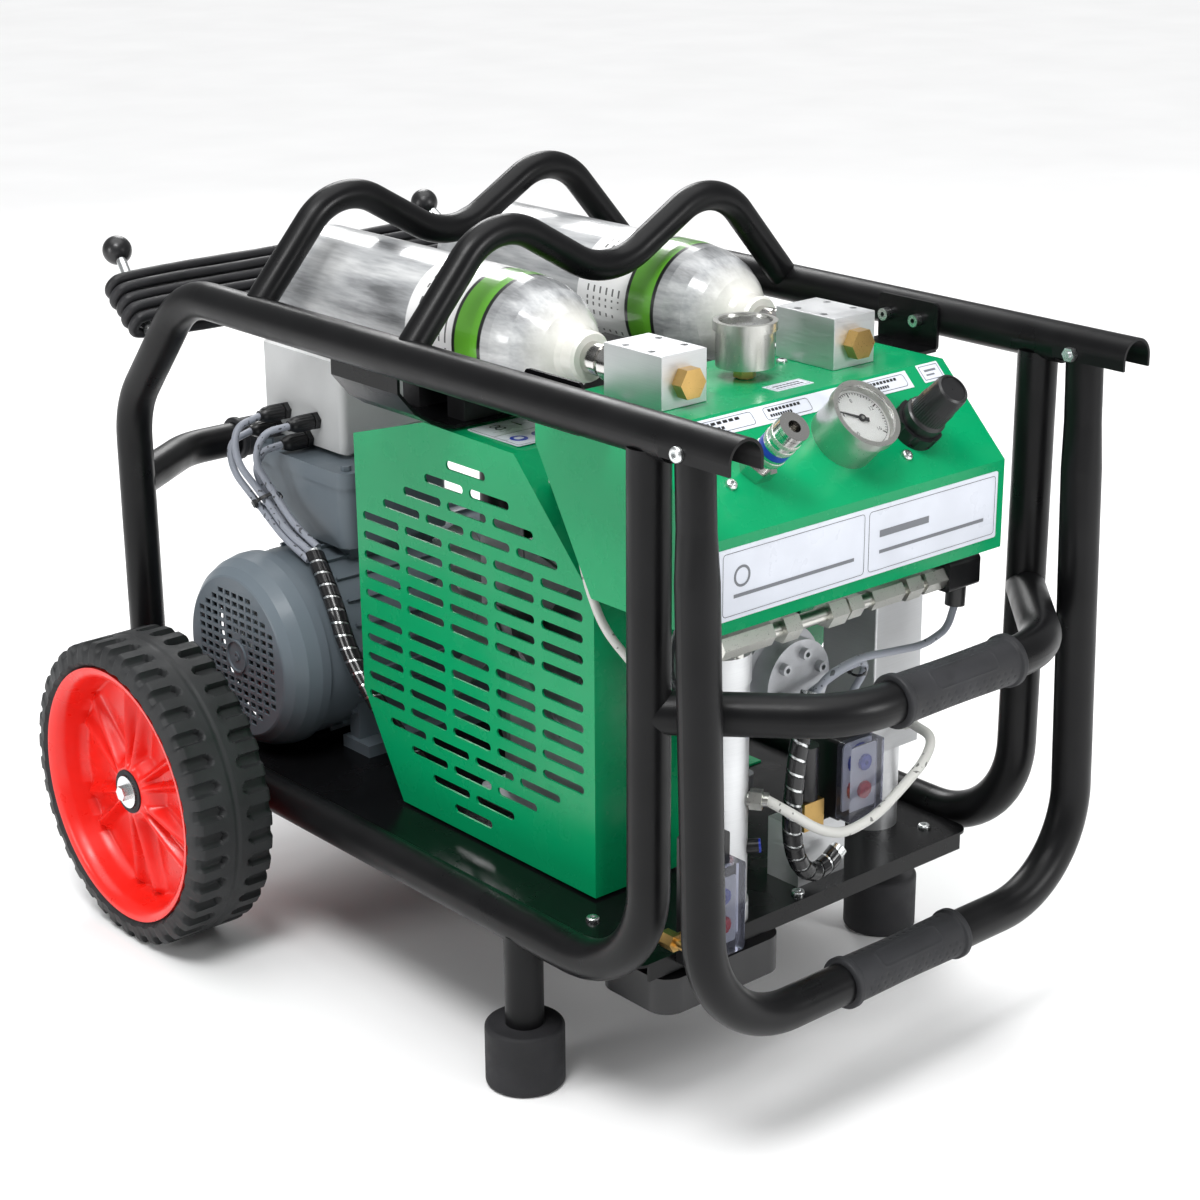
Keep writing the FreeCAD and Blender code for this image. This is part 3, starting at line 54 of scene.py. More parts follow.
# ---------------------------------------------------------------- camera and light
def place_camera():
    turn, pitch, roll = math.radians(41.025), math.radians(19.514), math.radians(-0.3195)
    right = Vector((math.cos(turn), -math.sin(turn), 0))
    look = Vector((math.sin(turn) * math.cos(pitch), math.cos(turn) * math.cos(pitch), -math.sin(pitch)))
    up = right.cross(look)
    side = right * math.cos(roll) + up * math.sin(roll)
    top = up * math.cos(roll) - right * math.sin(roll)
    data = bpy.data.cameras.new("camera")
    data.lens, data.sensor_width = 74.3, 36.0
    camera = bpy.data.objects.new("camera", data)
    SCENE.collection.objects.link(camera)
    basis = Matrix((side, top, -look)).transposed().to_4x4()
    camera.matrix_world = Matrix.Translation((-1.42016, -1.66971, 1.11549)) @ basis
    SCENE.camera = camera


def area_light(name, at, target, size, power):
    data = bpy.data.lights.new(name, "AREA")
    data.shape, data.size, data.energy = "DISK", size, power
    lamp = bpy.data.objects.new(name, data)
    SCENE.collection.objects.link(lamp)
    lamp.location = at
    lamp.rotation_euler = (Vector(target) - Vector(at)).to_track_quat("-Z", "Y").to_euler()


def light_scene():
    SCENE.view_settings.view_transform = "Standard"
    world = bpy.data.worlds.new("studio")
    SCENE.world = world
    world.use_nodes = True
    tree = world.node_tree
    tree.nodes.clear()
    output = tree.nodes.new("ShaderNodeOutputWorld")
    pick = tree.nodes.new("ShaderNodeMixShader")
    path = tree.nodes.new("ShaderNodeLightPath")
    for slot, strength in ((1, 0.34), (2, 1.0)):
        sky = tree.nodes.new("ShaderNodeBackground")
        sky.inputs["Color"].default_value = (0.98, 0.99, 1.0, 1)
        sky.inputs["Strength"].default_value = strength
        tree.links.new(sky.outputs[0], pick.inputs[slot])
    tree.links.new(path.outputs["Is Camera Ray"], pick.inputs[0])
    tree.links.new(pick.outputs[0], output.inputs["Surface"])
    area_light("key", (-1.3, -0.9, 2.9), (0, 0, 0.35), 1.0, 46)
    area_light("front", (0.9, -3.0, 1.3), (0, -0.2, 0.35), 0.9, 34)
    area_light("side", (-3.4, 0.6, 1.1), (0, 0.1, 0.3), 1.1, 30)
    area_light("rear", (1.4, 2.4, 2.2), (0, 0.1, 0.4), 1.4, 40)
    data = bpy.data.lights.new("overhead", "SUN")
    data.energy, data.angle = 2.2, 1.2
    SCENE.collection.objects.link(bpy.data.objects.new("overhead", data))


def lay_floor():
    mesh = bpy.data.meshes.new("floor")
    reach = 30.0
    corners = [(-reach, -reach, 0), (reach, -reach, 0), (reach, reach, 0), (-reach, reach, 0)]
    mesh.from_pydata(corners, [], [(0, 1, 2, 3)])
    floor = bpy.data.objects.new("floor", mesh)
    SCENE.collection.objects.link(floor)
    look = Look("floor", (0.9, 0.9, 0.9), 0.9)
    look.vary(look.noise(3.0), 0.02)
    mesh.materials.append(look.material)


# ---------------------------------------------------------------- materials
class Look:
    """A Principled material with the few procedural helpers the looks below share."""

    def __init__(self, name, colour, rough, metal=0.0, **sockets):
        self.material = bpy.data.materials.new(name)
        self.material.use_nodes = True
        self.tree = self.material.node_tree
        self.shader = self.tree.nodes["Principled BSDF"]
        self.colour = (*colour[:3], 1)
        self.set("Base Color", self.colour)
        self.set("Roughness", rough)
        self.set("Metallic", metal)
        self.rough = rough
        for socket, value in sockets.items():
            self.set(socket.replace("_", " "), value)
        self.place = self.tree.nodes.new("ShaderNodeTexCoord").outputs["Object"]
        self.normal = None

    def set(self, socket, value):
        self.shader.inputs[socket].default_value = value

    def link(self, output, socket):
        self.tree.links.new(output, socket)
        return output

    def node(self, kind, **facts):
        node = self.tree.nodes.new("ShaderNode" + kind)
        for name, value in facts.items():
            setattr(node, name, value)
        return node

    def value(self, kind, a, b):
        node = self.node("Math", operation=kind)
        for socket, source in zip(node.inputs, (a, b)):
            if isinstance(source, (int, float)):
                socket.default_value = source
            else:
                self.link(source, socket)
        return node.outputs[0]

    def axis(self, letter):
        split = self.node("SeparateXYZ")
        self.link(self.place, split.inputs[0])
        return split.outputs["XYZ".index(letter)]

    def mapped(self, scale=(1, 1, 1), turn=(0, 0, 0)):
        mapping = self.node("Mapping")
        mapping.inputs["Scale"].default_value = scale
        mapping.inputs["Rotation"].default_value = turn
        self.link(self.place, mapping.inputs["Vector"])
        return mapping.outputs[0]

    def noise(self, scale, detail=3.0, vector=None):
        noise = self.node("TexNoise")
        noise.inputs["Scale"].default_value = scale
        noise.inputs["Detail"].default_value = detail
        self.link(vector or self.place, noise.inputs["Vector"])
        return noise.outputs["Fac"]

    def ramp(self, factor, *stops):
        ramp = self.node("ValToRGB")
        while len(ramp.color_ramp.elements) < len(stops):
            ramp.color_ramp.elements.new(0.5)
        for element, (at, colour) in zip(ramp.color_ramp.elements, stops):
            grey = (colour,) * 3 if isinstance(colour, (int, float)) else colour
            element.position, element.color = at, (*grey[:3], 1)
        self.link(factor, ramp.inputs[0])
        return ramp.outputs[0]

    def mix(self, factor, a, b):
        mix = self.node("Mix", data_type="RGBA")
        for socket, source in ((mix.inputs[0], factor), (mix.inputs[6], a), (mix.inputs[7], b)):
            if isinstance(source, (int, float)):
                socket.default_value = source
            elif isinstance(source, (tuple, list)):
                socket.default_value = (*source[:3], 1)
            else:
                self.link(source, socket)
        return mix.outputs[2]

    def paint(self, output):
        self.link(output, self.shader.inputs["Base Color"])
        return output

    def vary(self, factor, amount):
        """Base colour wanders lighter and darker by this share."""
        low = [c * (1 - amount) for c in self.colour[:3]]
        high = [min(1.0, c * (1 + amount)) for c in self.colour[:3]]
        return self.paint(self.ramp(factor, (0.3, low), (0.7, high)))

    def polish(self, factor, low, high):
        self.link(self.ramp(factor, (0.3, low), (0.7, high)), self.shader.inputs["Roughness"])

    def bump(self, height, strength, distance):
        bump = self.node("Bump")
        bump.inputs["Strength"].default_value = strength
        bump.inputs["Distance"].default_value = distance
        self.link(height, bump.inputs["Height"])
        if self.normal:
            self.link(self.normal, bump.inputs["Normal"])
        self.normal = self.link(bump.outputs[0], self.shader.inputs["Normal"])

    def band(self, value, low, high, soft=0.0005):
        """1 where value lies between low and high."""
        up = self.node("MapRange")
        down = self.node("MapRange")
        for node, edge, sign in ((up, low, 1), (down, high, -1)):
            node.inputs["From Min"].default_value = edge - sign * soft
            node.inputs["From Max"].default_value = edge + sign * soft
            self.link(value, node.inputs["Value"])
        return self.value("MULTIPLY", up.outputs[0], down.outputs[0])


def powder_coat(name, colour, rough=0.36):
    look = Look(name, colour, rough, Specular_IOR_Level=0.2)
    look.vary(look.noise(14, 5), 0.25)
    look.polish(look.noise(22, 6), rough - 0.07, rough + 0.1)
    look.bump(look.noise(1400, 2), 0.12, 0.0004)
    return look


def gloss_paint(name, colour, rough=0.2):
    look = Look(name, colour, rough, Specular_IOR_Level=0.26)
    look.vary(look.noise(6, 4), 0.05)
    look.polish(look.noise(35, 6), rough - 0.05, rough + 0.08)
    look.bump(look.noise(260, 2), 0.05, 0.0006)
    return look


def rubber(name, colour, rough=0.72, grain=900):
    look = Look(name, colour, rough, Specular_IOR_Level=0.35)
    look.vary(look.noise(30, 6), 0.3)
    look.polish(look.noise(60, 5), rough - 0.12, rough + 0.1)
    look.bump(look.noise(grain, 4), 0.3, 0.0005)
    return look


def plastic(name, colour, rough=0.42, grain=700, depth=0.12):
    look = Look(name, colour, rough)
    look.vary(look.noise(18, 5), 0.06)
    look.polish(look.noise(40, 6), rough - 0.06, rough + 0.08)
    look.bump(look.noise(grain, 3), depth, 0.0004)
    return look


def plated(name, colour, rough=0.25, stain=0.04):
    look = Look(name, colour, rough, 1.0)
    look.vary(look.noise(45, 6), stain)
    look.polish(look.noise(900, 3), rough - 0.03, rough + 0.05)
    look.bump(look.noise(1600, 3), 0.05, 0.0001)
    return look


def machined(name, colour, rough=0.47, lines=(30, 30, 1400)):
    """Milled metal with fine cutter lines."""
    look = Look(name, colour, rough, 1.0)
    look.vary(look.noise(12, 4), 0.07)
    cutter = look.noise(1.0, 3, look.mapped(lines))
    look.polish(cutter, rough - 0.08, rough + 0.12)
    look.bump(cutter, 0.06, 0.0002)
    return look


def cast(name, colour, rough=0.5, metal=0.75):
    look = Look(name, colour, rough, metal)
    look.vary(look.noise(25, 6), 0.14)
    look.polish(look.noise(60, 5), rough - 0.08, rough + 0.12)
    look.bump(look.noise(420, 5), 0.35, 0.0007)
    return look


def bottle_wrap(side):
    """Wound fibre under clear resin, with a white label, a green band and a milky neck."""
    look = Look(f"bottle_wrap_{side}", (0.4, 0.41, 0.42), 0.3, Coat_Weight=0.6, Coat_Roughness=0.08)
    streak_a = look.noise(1.0, 6, look.mapped((26, 8, 60), (0.5, 0.2, 0.35)))
    streak_b = look.noise(1.0, 7, look.mapped((60, 9, 22), (-0.45, 0.3, -0.4)))
    fibre = look.noise(1.0, 8, look.mapped((420, 40, 420), (0.3, 0.0, 0.45)))
    cloud = look.value("MULTIPLY", streak_a, streak_b)
    cloud = look.value("ADD", cloud, look.value("MULTIPLY", fibre, 0.16))
    shell = look.ramp(cloud, (0.2, (0.13, 0.135, 0.14)), (0.34, (0.36, 0.37, 0.38)),
                      (0.5, (0.62, 0.63, 0.63)))
    along = look.axis("Y")
    neck = look.node("MapRange")
    neck.inputs["From Min"].default_value = -0.098
    neck.inputs["From Max"].default_value = -0.124
    look.link(along, neck.inputs["Value"])
    shell = look.mix(neck.outputs[0], shell, (0.72, 0.71, 0.66))
    label = look.band(along, -0.026, 0.040)
    shell = look.mix(label, shell, (0.82, 0.82, 0.82))
    rows = look.value("PINGPONG", along, 0.0042)
    around = look.noise(1.0, 0, look.mapped((170, 5, 170)))
    print_rows = look.value("MULTIPLY", look.value("LESS_THAN", rows, 0.0011),
                            look.value("GREATER_THAN", around, 0.52))
    printed = look.value("MULTIPLY", print_rows, look.band(along, -0.020, 0.030))
    shell = look.mix(printed, shell, (0.12, 0.12, 0.12))
    shell = look.mix(look.band(along, -0.063, -0.026), shell, (0.012, 0.012, 0.012))
    shell = look.mix(look.band(along, -0.059, -0.030), shell, (0.13, 0.44, 0.03))
    look.paint(shell)
    look.bump(fibre, 0.18, 0.0008)
    look.bump(streak_a, 0.2, 0.002)
    return look


def sheath(name, colour, rough=0.45):
    """Cable sheath with small printed marks."""
    look = Look(name, colour, rough)
    marks = look.noise(1.0, 0, look.mapped((260, 260, 260)))
    wide = look.noise(1.0, 0, look.mapped((30, 30, 30)))
    spots = look.value("MULTIPLY", look.value("GREATER_THAN", marks, 0.68),
                       look.value("GREATER_THAN", wide, 0.55))
    dark = [c * 0.25 for c in colour]
    look.paint(look.mix(spots, colour, dark))
    look.polish(look.noise(70, 4), rough - 0.08, rough + 0.1)
    look.bump(look.noise(500, 3), 0.08, 0.0004)
    return look


def clear(name, colour, rough=0.06, through=0.9):
    look = Look(name, colour, rough, Transmission_Weight=through, IOR=1.46)
    look.polish(look.noise(90, 5), rough, rough + 0.09)
    return look


BLACK = powder_coat("black_powder_coat", (0.0045, 0.0045, 0.005), 0.33)
PLATE = powder_coat("black_sheet", (0.004, 0.004, 0.0045), 0.22)
GREEN = gloss_paint("green_gloss", (0.001, 0.285, 0.105), 0.24)
RUBBER = rubber("black_rubber", (0.016, 0.016, 0.018))
GRIP = rubber("grip_rubber", (0.017, 0.0175, 0.02), 0.6, 1500)
TYRE = rubber("tyre_rubber", (0.017, 0.018, 0.019), 0.6, 600)
RED = plastic("red_moulding", (0.74, 0.013, 0.007), 0.3, 300, 0.06)
ZINC = plated("zinc_plate", (0.70, 0.72, 0.72), 0.27)
CHROME = plated("bright_steel", (0.66, 0.65, 0.63), 0.16)
NICKEL = plated("nickel", (0.62, 0.62, 0.58), 0.30)
BRASS = plated("brass", (0.62, 0.40, 0.14), 0.30, 0.08)
ALUMINIUM = machined("milled_aluminium", (0.66, 0.67, 0.68))
CASE = plated("brushed_case", (0.58, 0.58, 0.55), 0.30)
CAST = cast("cast_aluminium", (0.46, 0.47, 0.49))
IRON = cast("machined_iron", (0.2, 0.2, 0.21), 0.42)
MOTOR = gloss_paint("motor_grey", (0.14, 0.17, 0.195), 0.34)
LIGHT_BOX = plastic("light_grey_box", (0.56, 0.57, 0.57), 0.4)
BLACK_PLASTIC = plastic("black_moulding", (0.008, 0.008, 0.009), 0.34)
LABEL = plastic("label_white", (0.66, 0.69, 0.76), 0.3, 900, 0.03)
INK = plastic("label_black", (0.012, 0.012, 0.013), 0.3, 900, 0.03)
BLUE = plastic("blue_ring", (0.012, 0.035, 0.36), 0.3)
RED_CAP = plastic("red_cap", (0.62, 0.03, 0.03), 0.35)
GREY_INK = plastic("grey_ink", (0.16, 0.17, 0.19), 0.4, 900, 0.04)
DIAL = plastic("dial_white", (0.84, 0.84, 0.82), 0.5)
GLASS = clear("gauge_glass", (0.97, 0.98, 0.98), 0.02, 1.0)
SMOKE = clear("smoky_cover", (0.5, 0.52, 0.66), 0.05, 0.92)
CABLE = sheath("grey_cable", (0.30, 0.32, 0.37))
HOSE = sheath("white_hose", (0.58, 0.58, 0.55), 0.4)
WRAP = plastic("spiral_wrap", (0.012, 0.012, 0.013), 0.22, 500, 0.1)
CORD = rubber("cord_sheath", (0.016, 0.016, 0.018), 0.5, 800)

CAD_LOOKS = {
    BLACK: ["side_frame_left", "side_frame_right", "bottle_guard_front", "bottle_guard_rear",
            "front_handle", "rear_handle", "fold_handle"],
    PLATE: ["base_plate", "bottle_cradle"],
    GREEN: ["control_panel", "vent_cover", "belt_guard"],
    RUBBER: ["rubber_feet", "cradle_pads", "drive_belt"],
    ZINC: ["fasteners", "wheel_axles", "cord_posts", "motor_rotor"],
    CHROME: ["bottle_necks", "coupling_body", "coupling_sleeve"],
    NICKEL: ["pipe_fittings"],
    BRASS: ["brass_fittings"],
    ALUMINIUM: ["manifold_blocks", "purifier_towers"],
    CASE: ["gauge_cases"],
    CAST: ["crankcase", "cylinders"],
    IRON: ["crankshaft"],
    MOTOR: ["motor_housing", "motor_fan_cover", "terminal_box"],
    LIGHT_BOX: ["control_box"],
    BLACK_PLASTIC: ["cable_glands", "regulator_body", "regulator_knob", "switch_bodies", "drain_tray",
                    "post_knobs", "front_gauge_needle", "top_gauge_needle"],
    LABEL: ["label_plates"],
    DIAL: ["gauge_dials"],
    GLASS: ["gauge_glasses"],
    CABLE: ["control_cables"],
    HOSE: ["air_hoses"],
    CORD: ["power_plug", "power_cord_lead", "power_cord_hank"],
}


def dress(node, look):
    mesh = NODES[node].data
    mesh.materials.clear()
    mesh.materials.append(look.material)


# ---------------------------------------------------------------- pieces
def piece(name, vertices, faces, body, look, soft_angle=35):
    mesh = bpy.data.meshes.new(name)
    mesh.from_pydata([tuple(v) for v in vertices], [], faces)
    mesh.validate()
    mesh.shade_smooth()
    mesh.set_sharp_from_angle(angle=math.radians(soft_angle))
    mesh.materials.append(look.material)
    obj = bpy.data.objects.new(name, mesh)
    SCENE.collection.objects.link(obj)
    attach(obj, body)
    return obj


def grid_faces(rows, columns, close_rows=False, close_columns=True):
    """Quads over rows x columns of points."""
    faces = []
    for i in range(rows if close_rows else rows - 1):
        for j in range(columns if close_columns else columns - 1):
            a, b = i * columns + j, i * columns + (j + 1) % columns
            c, d = (i + 1) % rows * columns + (j + 1) % columns, (i + 1) % rows * columns + j
            faces.append((a, b, c, d))
    return faces


def smooth_step(low, high, value):
    t = min(1.0, max(0.0, (value - low) / (high - low)))
    return t * t * (3 - 2 * t)


def route_points(name, points):
    """Evenly read points of the smooth curve through a route's control points."""
    curve = nurbs(name, points)
    curve.resolution_u = 10
    obj = bpy.data.objects.new(name, curve)
    mesh = bpy.data.meshes.new_from_object(obj)
    line = [v.co.copy() for v in mesh.vertices]
    bpy.data.objects.remove(obj)
    bpy.data.meshes.remove(mesh)
    return line


def nurbs(name, points):
    curve = bpy.data.curves.new(name, "CURVE")
    curve.dimensions = "3D"
    spline = curve.splines.new("NURBS")
    spline.points.add(len(points) - 1)
    for target, point in zip(spline.points, points):
        target.co = (*point, 1)
    spline.order_u = 3
    spline.use_endpoint_u = True
    return curve


def resample(line, step):
    out, carry = [line[0]], 0.0
    for a, b in zip(line, line[1:]):
        length = (b - a).length
        at = step - carry
        while at <= length:
            out.append(a.lerp(b, at / length))
            at += step
        carry = (carry + length) % step if length else carry
    out.append(line[-1])
    return out


def tube_rings(line, sides, radius_at):
    """Rings of points along a line, with a radius for each place and angle."""
    vertices, up = [], Vector((0, 0, 1))
    for i, point in enumerate(line):
        ahead = (line[min(i + 1, len(line) - 1)] - line[max(i - 1, 0)]).normalized()
        across = ahead.cross(up)
        if across.length < 0.2:
            across = ahead.cross(Vector((1, 0, 0)))
        across.normalize()
        up = across.cross(ahead)
        for j in range(sides):
            angle = 2 * math.pi * j / sides
            radius = radius_at(i, angle)
            vertices.append(point + (across * math.cos(angle) + up * math.sin(angle)) * radius)
    return vertices


def capped(faces, rows, sides):
    return faces + [tuple(range(sides))[::-1], tuple((rows - 1) * sides + j for j in range(sides))]


# ---------------------------------------------------------------- power cord
CORD_D = 0.011
WRAP_LEFT = [(-121.5, 249, 352), (-130, 208, 319), (-137, 176, 274), (-136, 134, 232), (-134, 92, 200),
             (-125, 66, 172)]
WRAP_FRONT = [(-13, -322, 345), (-28, -325, 308), (-34, -325, 262), (-33, -322, 215), (-16, -319, 178),
              (14, -316, 166), (38, -314.5, 184)]
CORD_LEAD = [(0.086, 0.318, 0.486), (0.140, 0.319, 0.481), (0.180, 0.345, 0.484), (0.186, 0.385, 0.506),
             (0.158, 0.406, 0.534), (0.112, 0.409, 0.549)]
HANK_MIDDLE = Vector((0, 0.4125, 0.585))
HANK_ALONG = Vector((0, 0.792, 0.611)).normalized()
HANK_ACROSS = Vector((0, 0.611, -0.792)).normalized()
HANK_REACH, HANK_TURNS, HANK_PITCH = 0.2065, 5, 0.0125
HANK_START = -0.028                  # of the first turn, along the hank
HANK_SAG, END_BULGE = 0.0022, 1.12


def hank_point(x, along, across):
    return HANK_MIDDLE + Vector((x, 0, 0)) + HANK_ALONG * along + HANK_ACROSS * across


def sag(x):
    """How far a turn hangs at a place between the posts."""
    return HANK_SAG * math.sin(math.pi * (x + HANK_REACH) / (2 * HANK_REACH))


def cord_route():
    """The lead, five loose turns round both posts, and the run to the plug under them."""
    rng = random.Random(7)
    points = [Vector(p) for p in CORD_LEAD]
    reach, pitch = HANK_REACH, HANK_PITCH
    for turn in range(HANK_TURNS):
        at = HANK_START + turn * pitch
        radius = 0.0132 + 0.0012 * (turn % 2)
        for i in range(8):
            x = 0.1 - i * (0.1 + reach) / 8 if turn == 0 else reach - i * reach / 4
            if x > -reach + 0.02:
                points.append(hank_point(x, at + rng.uniform(-0.0008, 0.0008), radius + sag(x)))
        for step in range(1, 6):
            angle = math.pi * step / 6
            x = -reach - radius * math.sin(angle) * END_BULGE
            points.append(hank_point(x, at + pitch * 0.25 * step / 6, radius * math.cos(angle)))
        for i in range(1, 8):
            x = -reach + i * reach / 4
            along = at + pitch * (0.25 + 0.5 * i / 8) + rng.uniform(-0.0008, 0.0008)
            points.append(hank_point(x, along, sag(x) - radius))
        for step in range(1, 6):
            angle = math.pi * step / 6
            x = reach + radius * math.sin(angle) * END_BULGE
            along = at + pitch * (0.75 + 0.25 * step / 6)
            points.append(hank_point(x, along, -radius * math.cos(angle)))
    end = HANK_START + HANK_TURNS * pitch
    points += [hank_point(0.17, end, 0.016), hank_point(0.13, end - 0.004, 0.024),
               hank_point(0.105, 0.02, 0.036), hank_point(0.09, 0.006, 0.0415),
               hank_point(0.076, 0.0, 0.042)]
    return points


def power_cord():
    points = cord_route()
    curve = nurbs("power_cord", points)
    curve.bevel_depth, curve.bevel_resolution, curve.resolution_u = CORD_D / 2, 5, 6
    curve.use_fill_caps = True
    curve.materials.append(CORD.material)
    cord = bpy.data.objects.new("power_cord", curve)
    SCENE.collection.objects.link(cord)
    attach(cord, "frame")
    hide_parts("power_cord_lead", "power_cord_hank")
    line = route_points("cord_measure", points)
    relief = strain_relief()


def strain_relief():
    """Tapered ribbed sleeve where the cord leaves its gland."""
    line = resample(route_points("relief_line", CORD_LEAD[:3]), 0.0012)[:34]

    def radius(i, angle):
        taper = 0.0086 - 0.0024 * i / len(line)
        return taper - (0.0006 if i % 5 == 0 and 0 < i < len(line) - 2 else 0.0)
    vertices = tube_rings(line, 28, radius)
    faces = capped(grid_faces(len(line), 28), len(line), 28)
    return piece("cord_relief", vertices, faces, "frame", CORD)


# ---------------------------------------------------------------- wheels
LUGS, LUG_STEPS = 38, 14
ROW_SHIFT = 0.42                     # of a lug, between the two rows
HUB_INSET = 0.016                    # hub face behind the rim's outer face
GRIP_HALF, GRIP_FLANGE, GRIP_BORE = 0.070, 0.0224, 0.0176


def tyre(side):
    """Solid tyre with two rows of round-ended slots, open at the shoulders, and a shallow middle groove."""
    low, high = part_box(f"wheel_{side}_tyre")
    centre = (low + high) / 2
    half, outer = (high.x - low.x) / 2, (high.z - low.z) / 2
    rows, columns = LUGS * LUG_STEPS, 67
    vertices = []
    for row in range(rows):
        angle = 2 * math.pi * row / rows
        ring = [(-half + 0.0062, outer - 0.0239)]
        for i in range(columns):
            x = half * (-1 + 2 * i / (columns - 1))
            ring.append((x, tread_radius(x, half, outer, row / LUG_STEPS)))
        ring += [(half - 0.0062, outer - 0.0239), (half - 0.010, outer - 0.0305),
                 (-half + 0.010, outer - 0.0305)]
        for x, radius in ring:
            vertices.append(centre + Vector((x, radius * math.sin(angle), radius * math.cos(angle))))
    faces = [f[::-1] for f in grid_faces(rows, columns + 4, close_rows=True)]
    obj = piece(f"tyre_{side}", vertices, faces, f"{side}_wheel", TYRE, 55)
    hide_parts(f"wheel_{side}_tyre")


def tread_radius(x, half, outer, lug):
    """Tread's radius at a place across it and round it, in lugs."""
    reach = abs(x) / half
    radius = outer - 0.0085 * smooth_step(0.80, 1.0, reach) ** 1.6 - 0.0095 * smooth_step(0.94, 1.0, reach)
    across = abs((lug + (ROW_SHIFT if x > 0 else 0.0)) % 1.0 - 0.5)
    start = 0.25 + 0.12 * min(1.0, across / 0.22) ** 2.5
    slot = smooth_step(0.250, 0.205, across) * smooth_step(start, start + 0.035, reach)
    slot *= 1 - 0.75 * smooth_step(0.86, 0.99, reach)
    return radius - 0.0068 * slot - 0.0009 * smooth_step(0.09, 0.0, reach)


def rim(side):
    """Moulded rim: a deep dish with six pairs of round flutes from its hub to its barrel."""
    low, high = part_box(f"wheel_{side}_rim")
    centre = (low + high) / 2
    sign = 1 if centre.x > 0 else -1
    face, back = max(abs(low.x), abs(high.x)), min(abs(low.x), abs(high.x))
    lip = (high.z - low.z) / 2
    rows, steps = 360, 46
    vertices = []
    for row in range(rows):
        angle = 2 * math.pi * row / rows
        ring = [(face - HUB_INSET, 0.0101), (face - HUB_INSET, 0.0235)]
        web = [flute(0.025 + (0.1165 - 0.025) * i / (steps - 1), angle) for i in range(steps)]
        ring += [(face - depth, radius) for radius, depth in web]
        ring += [(face, lip - 0.003), (face, lip), (face - 0.004, lip), (face - 0.008, lip - 0.007),
                 (back + 0.008, lip - 0.007), (back + 0.004, lip), (back, lip), (back, lip - 0.004),
                 (back + 0.004, lip - 0.011), (face - 0.039, lip - 0.014)]
        ring += [(face - depth - 0.004, radius) for radius, depth in reversed(web[4:-6:3])]
        ring += [(back + 0.002, 0.022), (back + 0.002, 0.0101)]
        for x, radius in ring:
            spot = Vector((sign * x, centre.y + radius * math.cos(angle),
                           centre.z + radius * math.sin(angle)))
            vertices.append(spot)
    count = len(vertices) // rows
    faces = grid_faces(rows, count, close_rows=True)
    if sign > 0:
        faces = [f[::-1] for f in faces]
    shell = piece(f"rim_{side}", vertices, faces, f"{side}_wheel", RED, 50)
    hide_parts(f"wheel_{side}_rim")
    hub = Vector((sign * (face - HUB_INSET), centre.y, centre.z))
    out = Vector((sign, 0, 0))
    turned(f"hub_washer_{side}", hub, out, [(0.0166, 0), (0.0215, 0), (0.0215, 0.0016), (0.0166, 0.0018)],
           f"{side}_wheel", RUBBER)


def flute(radius, angle):
    """Radius and depth of the dish at a place; six pairs of ridges run together at the hub."""
    t = (radius - 0.025) / (0.1165 - 0.025)
    depth = 0.018 + 0.016 * smooth_step(0.0, 0.16, t) + 0.002 * t
    if t > 0.93:
        depth -= (depth - 0.004) * ((t - 0.93) / 0.07)
    pitch = math.pi / 3
    turn = (angle + math.radians(29) + pitch / 2) % pitch - pitch / 2
    apart = math.radians(9.0)
    spread = math.radians(3.6) + math.radians(3.2) * (1 - smooth_step(0.0, 0.5, t))
    ridge = math.exp(-((abs(turn) - apart) / spread) ** 2)
    web = 0.35 * smooth_step(0.75, 0.25, t) * (1 if abs(turn) < apart else 0)
    crest = 0.0165 + 0.0115 * t
    rise = max(0.0, depth - crest) * max(ridge, web) * (1 - smooth_step(0.86, 0.95, t))
    return radius, depth - rise


def turned(name, base, axis, profile, body, look, sides=48, ribs=0, rib_depth=0.0, rib_range=None):
    """Piece turned on an axis from (radius, height) points, with an optional ribbed length."""
    side = axis.orthogonal().normalized()
    up = axis.cross(side)
    vertices = []
    for radius, height in profile:
        for j in range(sides):
            angle = 2 * math.pi * j / sides
            r = radius
            if ribs and rib_range[0] <= height <= rib_range[1]:
                r -= rib_depth * (0.5 + 0.5 * math.cos(ribs * angle)) ** 2
            vertices.append(base + axis * height + (side * math.cos(angle) + up * math.sin(angle)) * r)
    ring = len(profile) > 2 and profile[0][0] > 0.001
    return piece(name, vertices, grid_faces(len(profile), sides, close_rows=ring), body, look)


def prism(name, base, axis, across, sides, height, body, look):
    """Regular prism with small chamfers at both ends."""
    side = axis.orthogonal().normalized()
    up = axis.cross(side)
    corner = across / 2 / math.cos(math.pi / sides)
    rings = [(0.0, 0), (corner * 0.93, 0), (corner, height * 0.08), (corner, height * 0.92),
             (corner * 0.93, height), (0.0, height)]
    vertices = []
    for radius, at in rings:
        for j in range(sides):
            angle = 2 * math.pi * j / sides
            spoke = side * math.cos(angle) + up * math.sin(angle)
            vertices.append(base + axis * at + spoke * max(radius, 0.0002))
    return piece(name, vertices, grid_faces(len(rings), sides), body, look, 20)


# ---------------------------------------------------------------- grips
def grip(name, centre, body, facing):
    """Rubber sleeve with end flanges, a raised rounded outline and rows of dimples."""
    rows, sides = 190, 128
    vertices = []
    for row in range(rows + 2):
        x = -GRIP_HALF + 2 * GRIP_HALF * min(max(row - 1, 0), rows - 1) / (rows - 1)
        for j in range(sides):
            angle = 2 * math.pi * j / sides
            inside = row in (0, rows + 1)
            radius = GRIP_BORE if inside else grip_radius(x, angle - facing)
            vertices.append(centre + Vector((x, radius * math.cos(angle), radius * math.sin(angle))))
    return piece(name, vertices, grid_faces(rows + 2, sides), body, GRIP, 60)


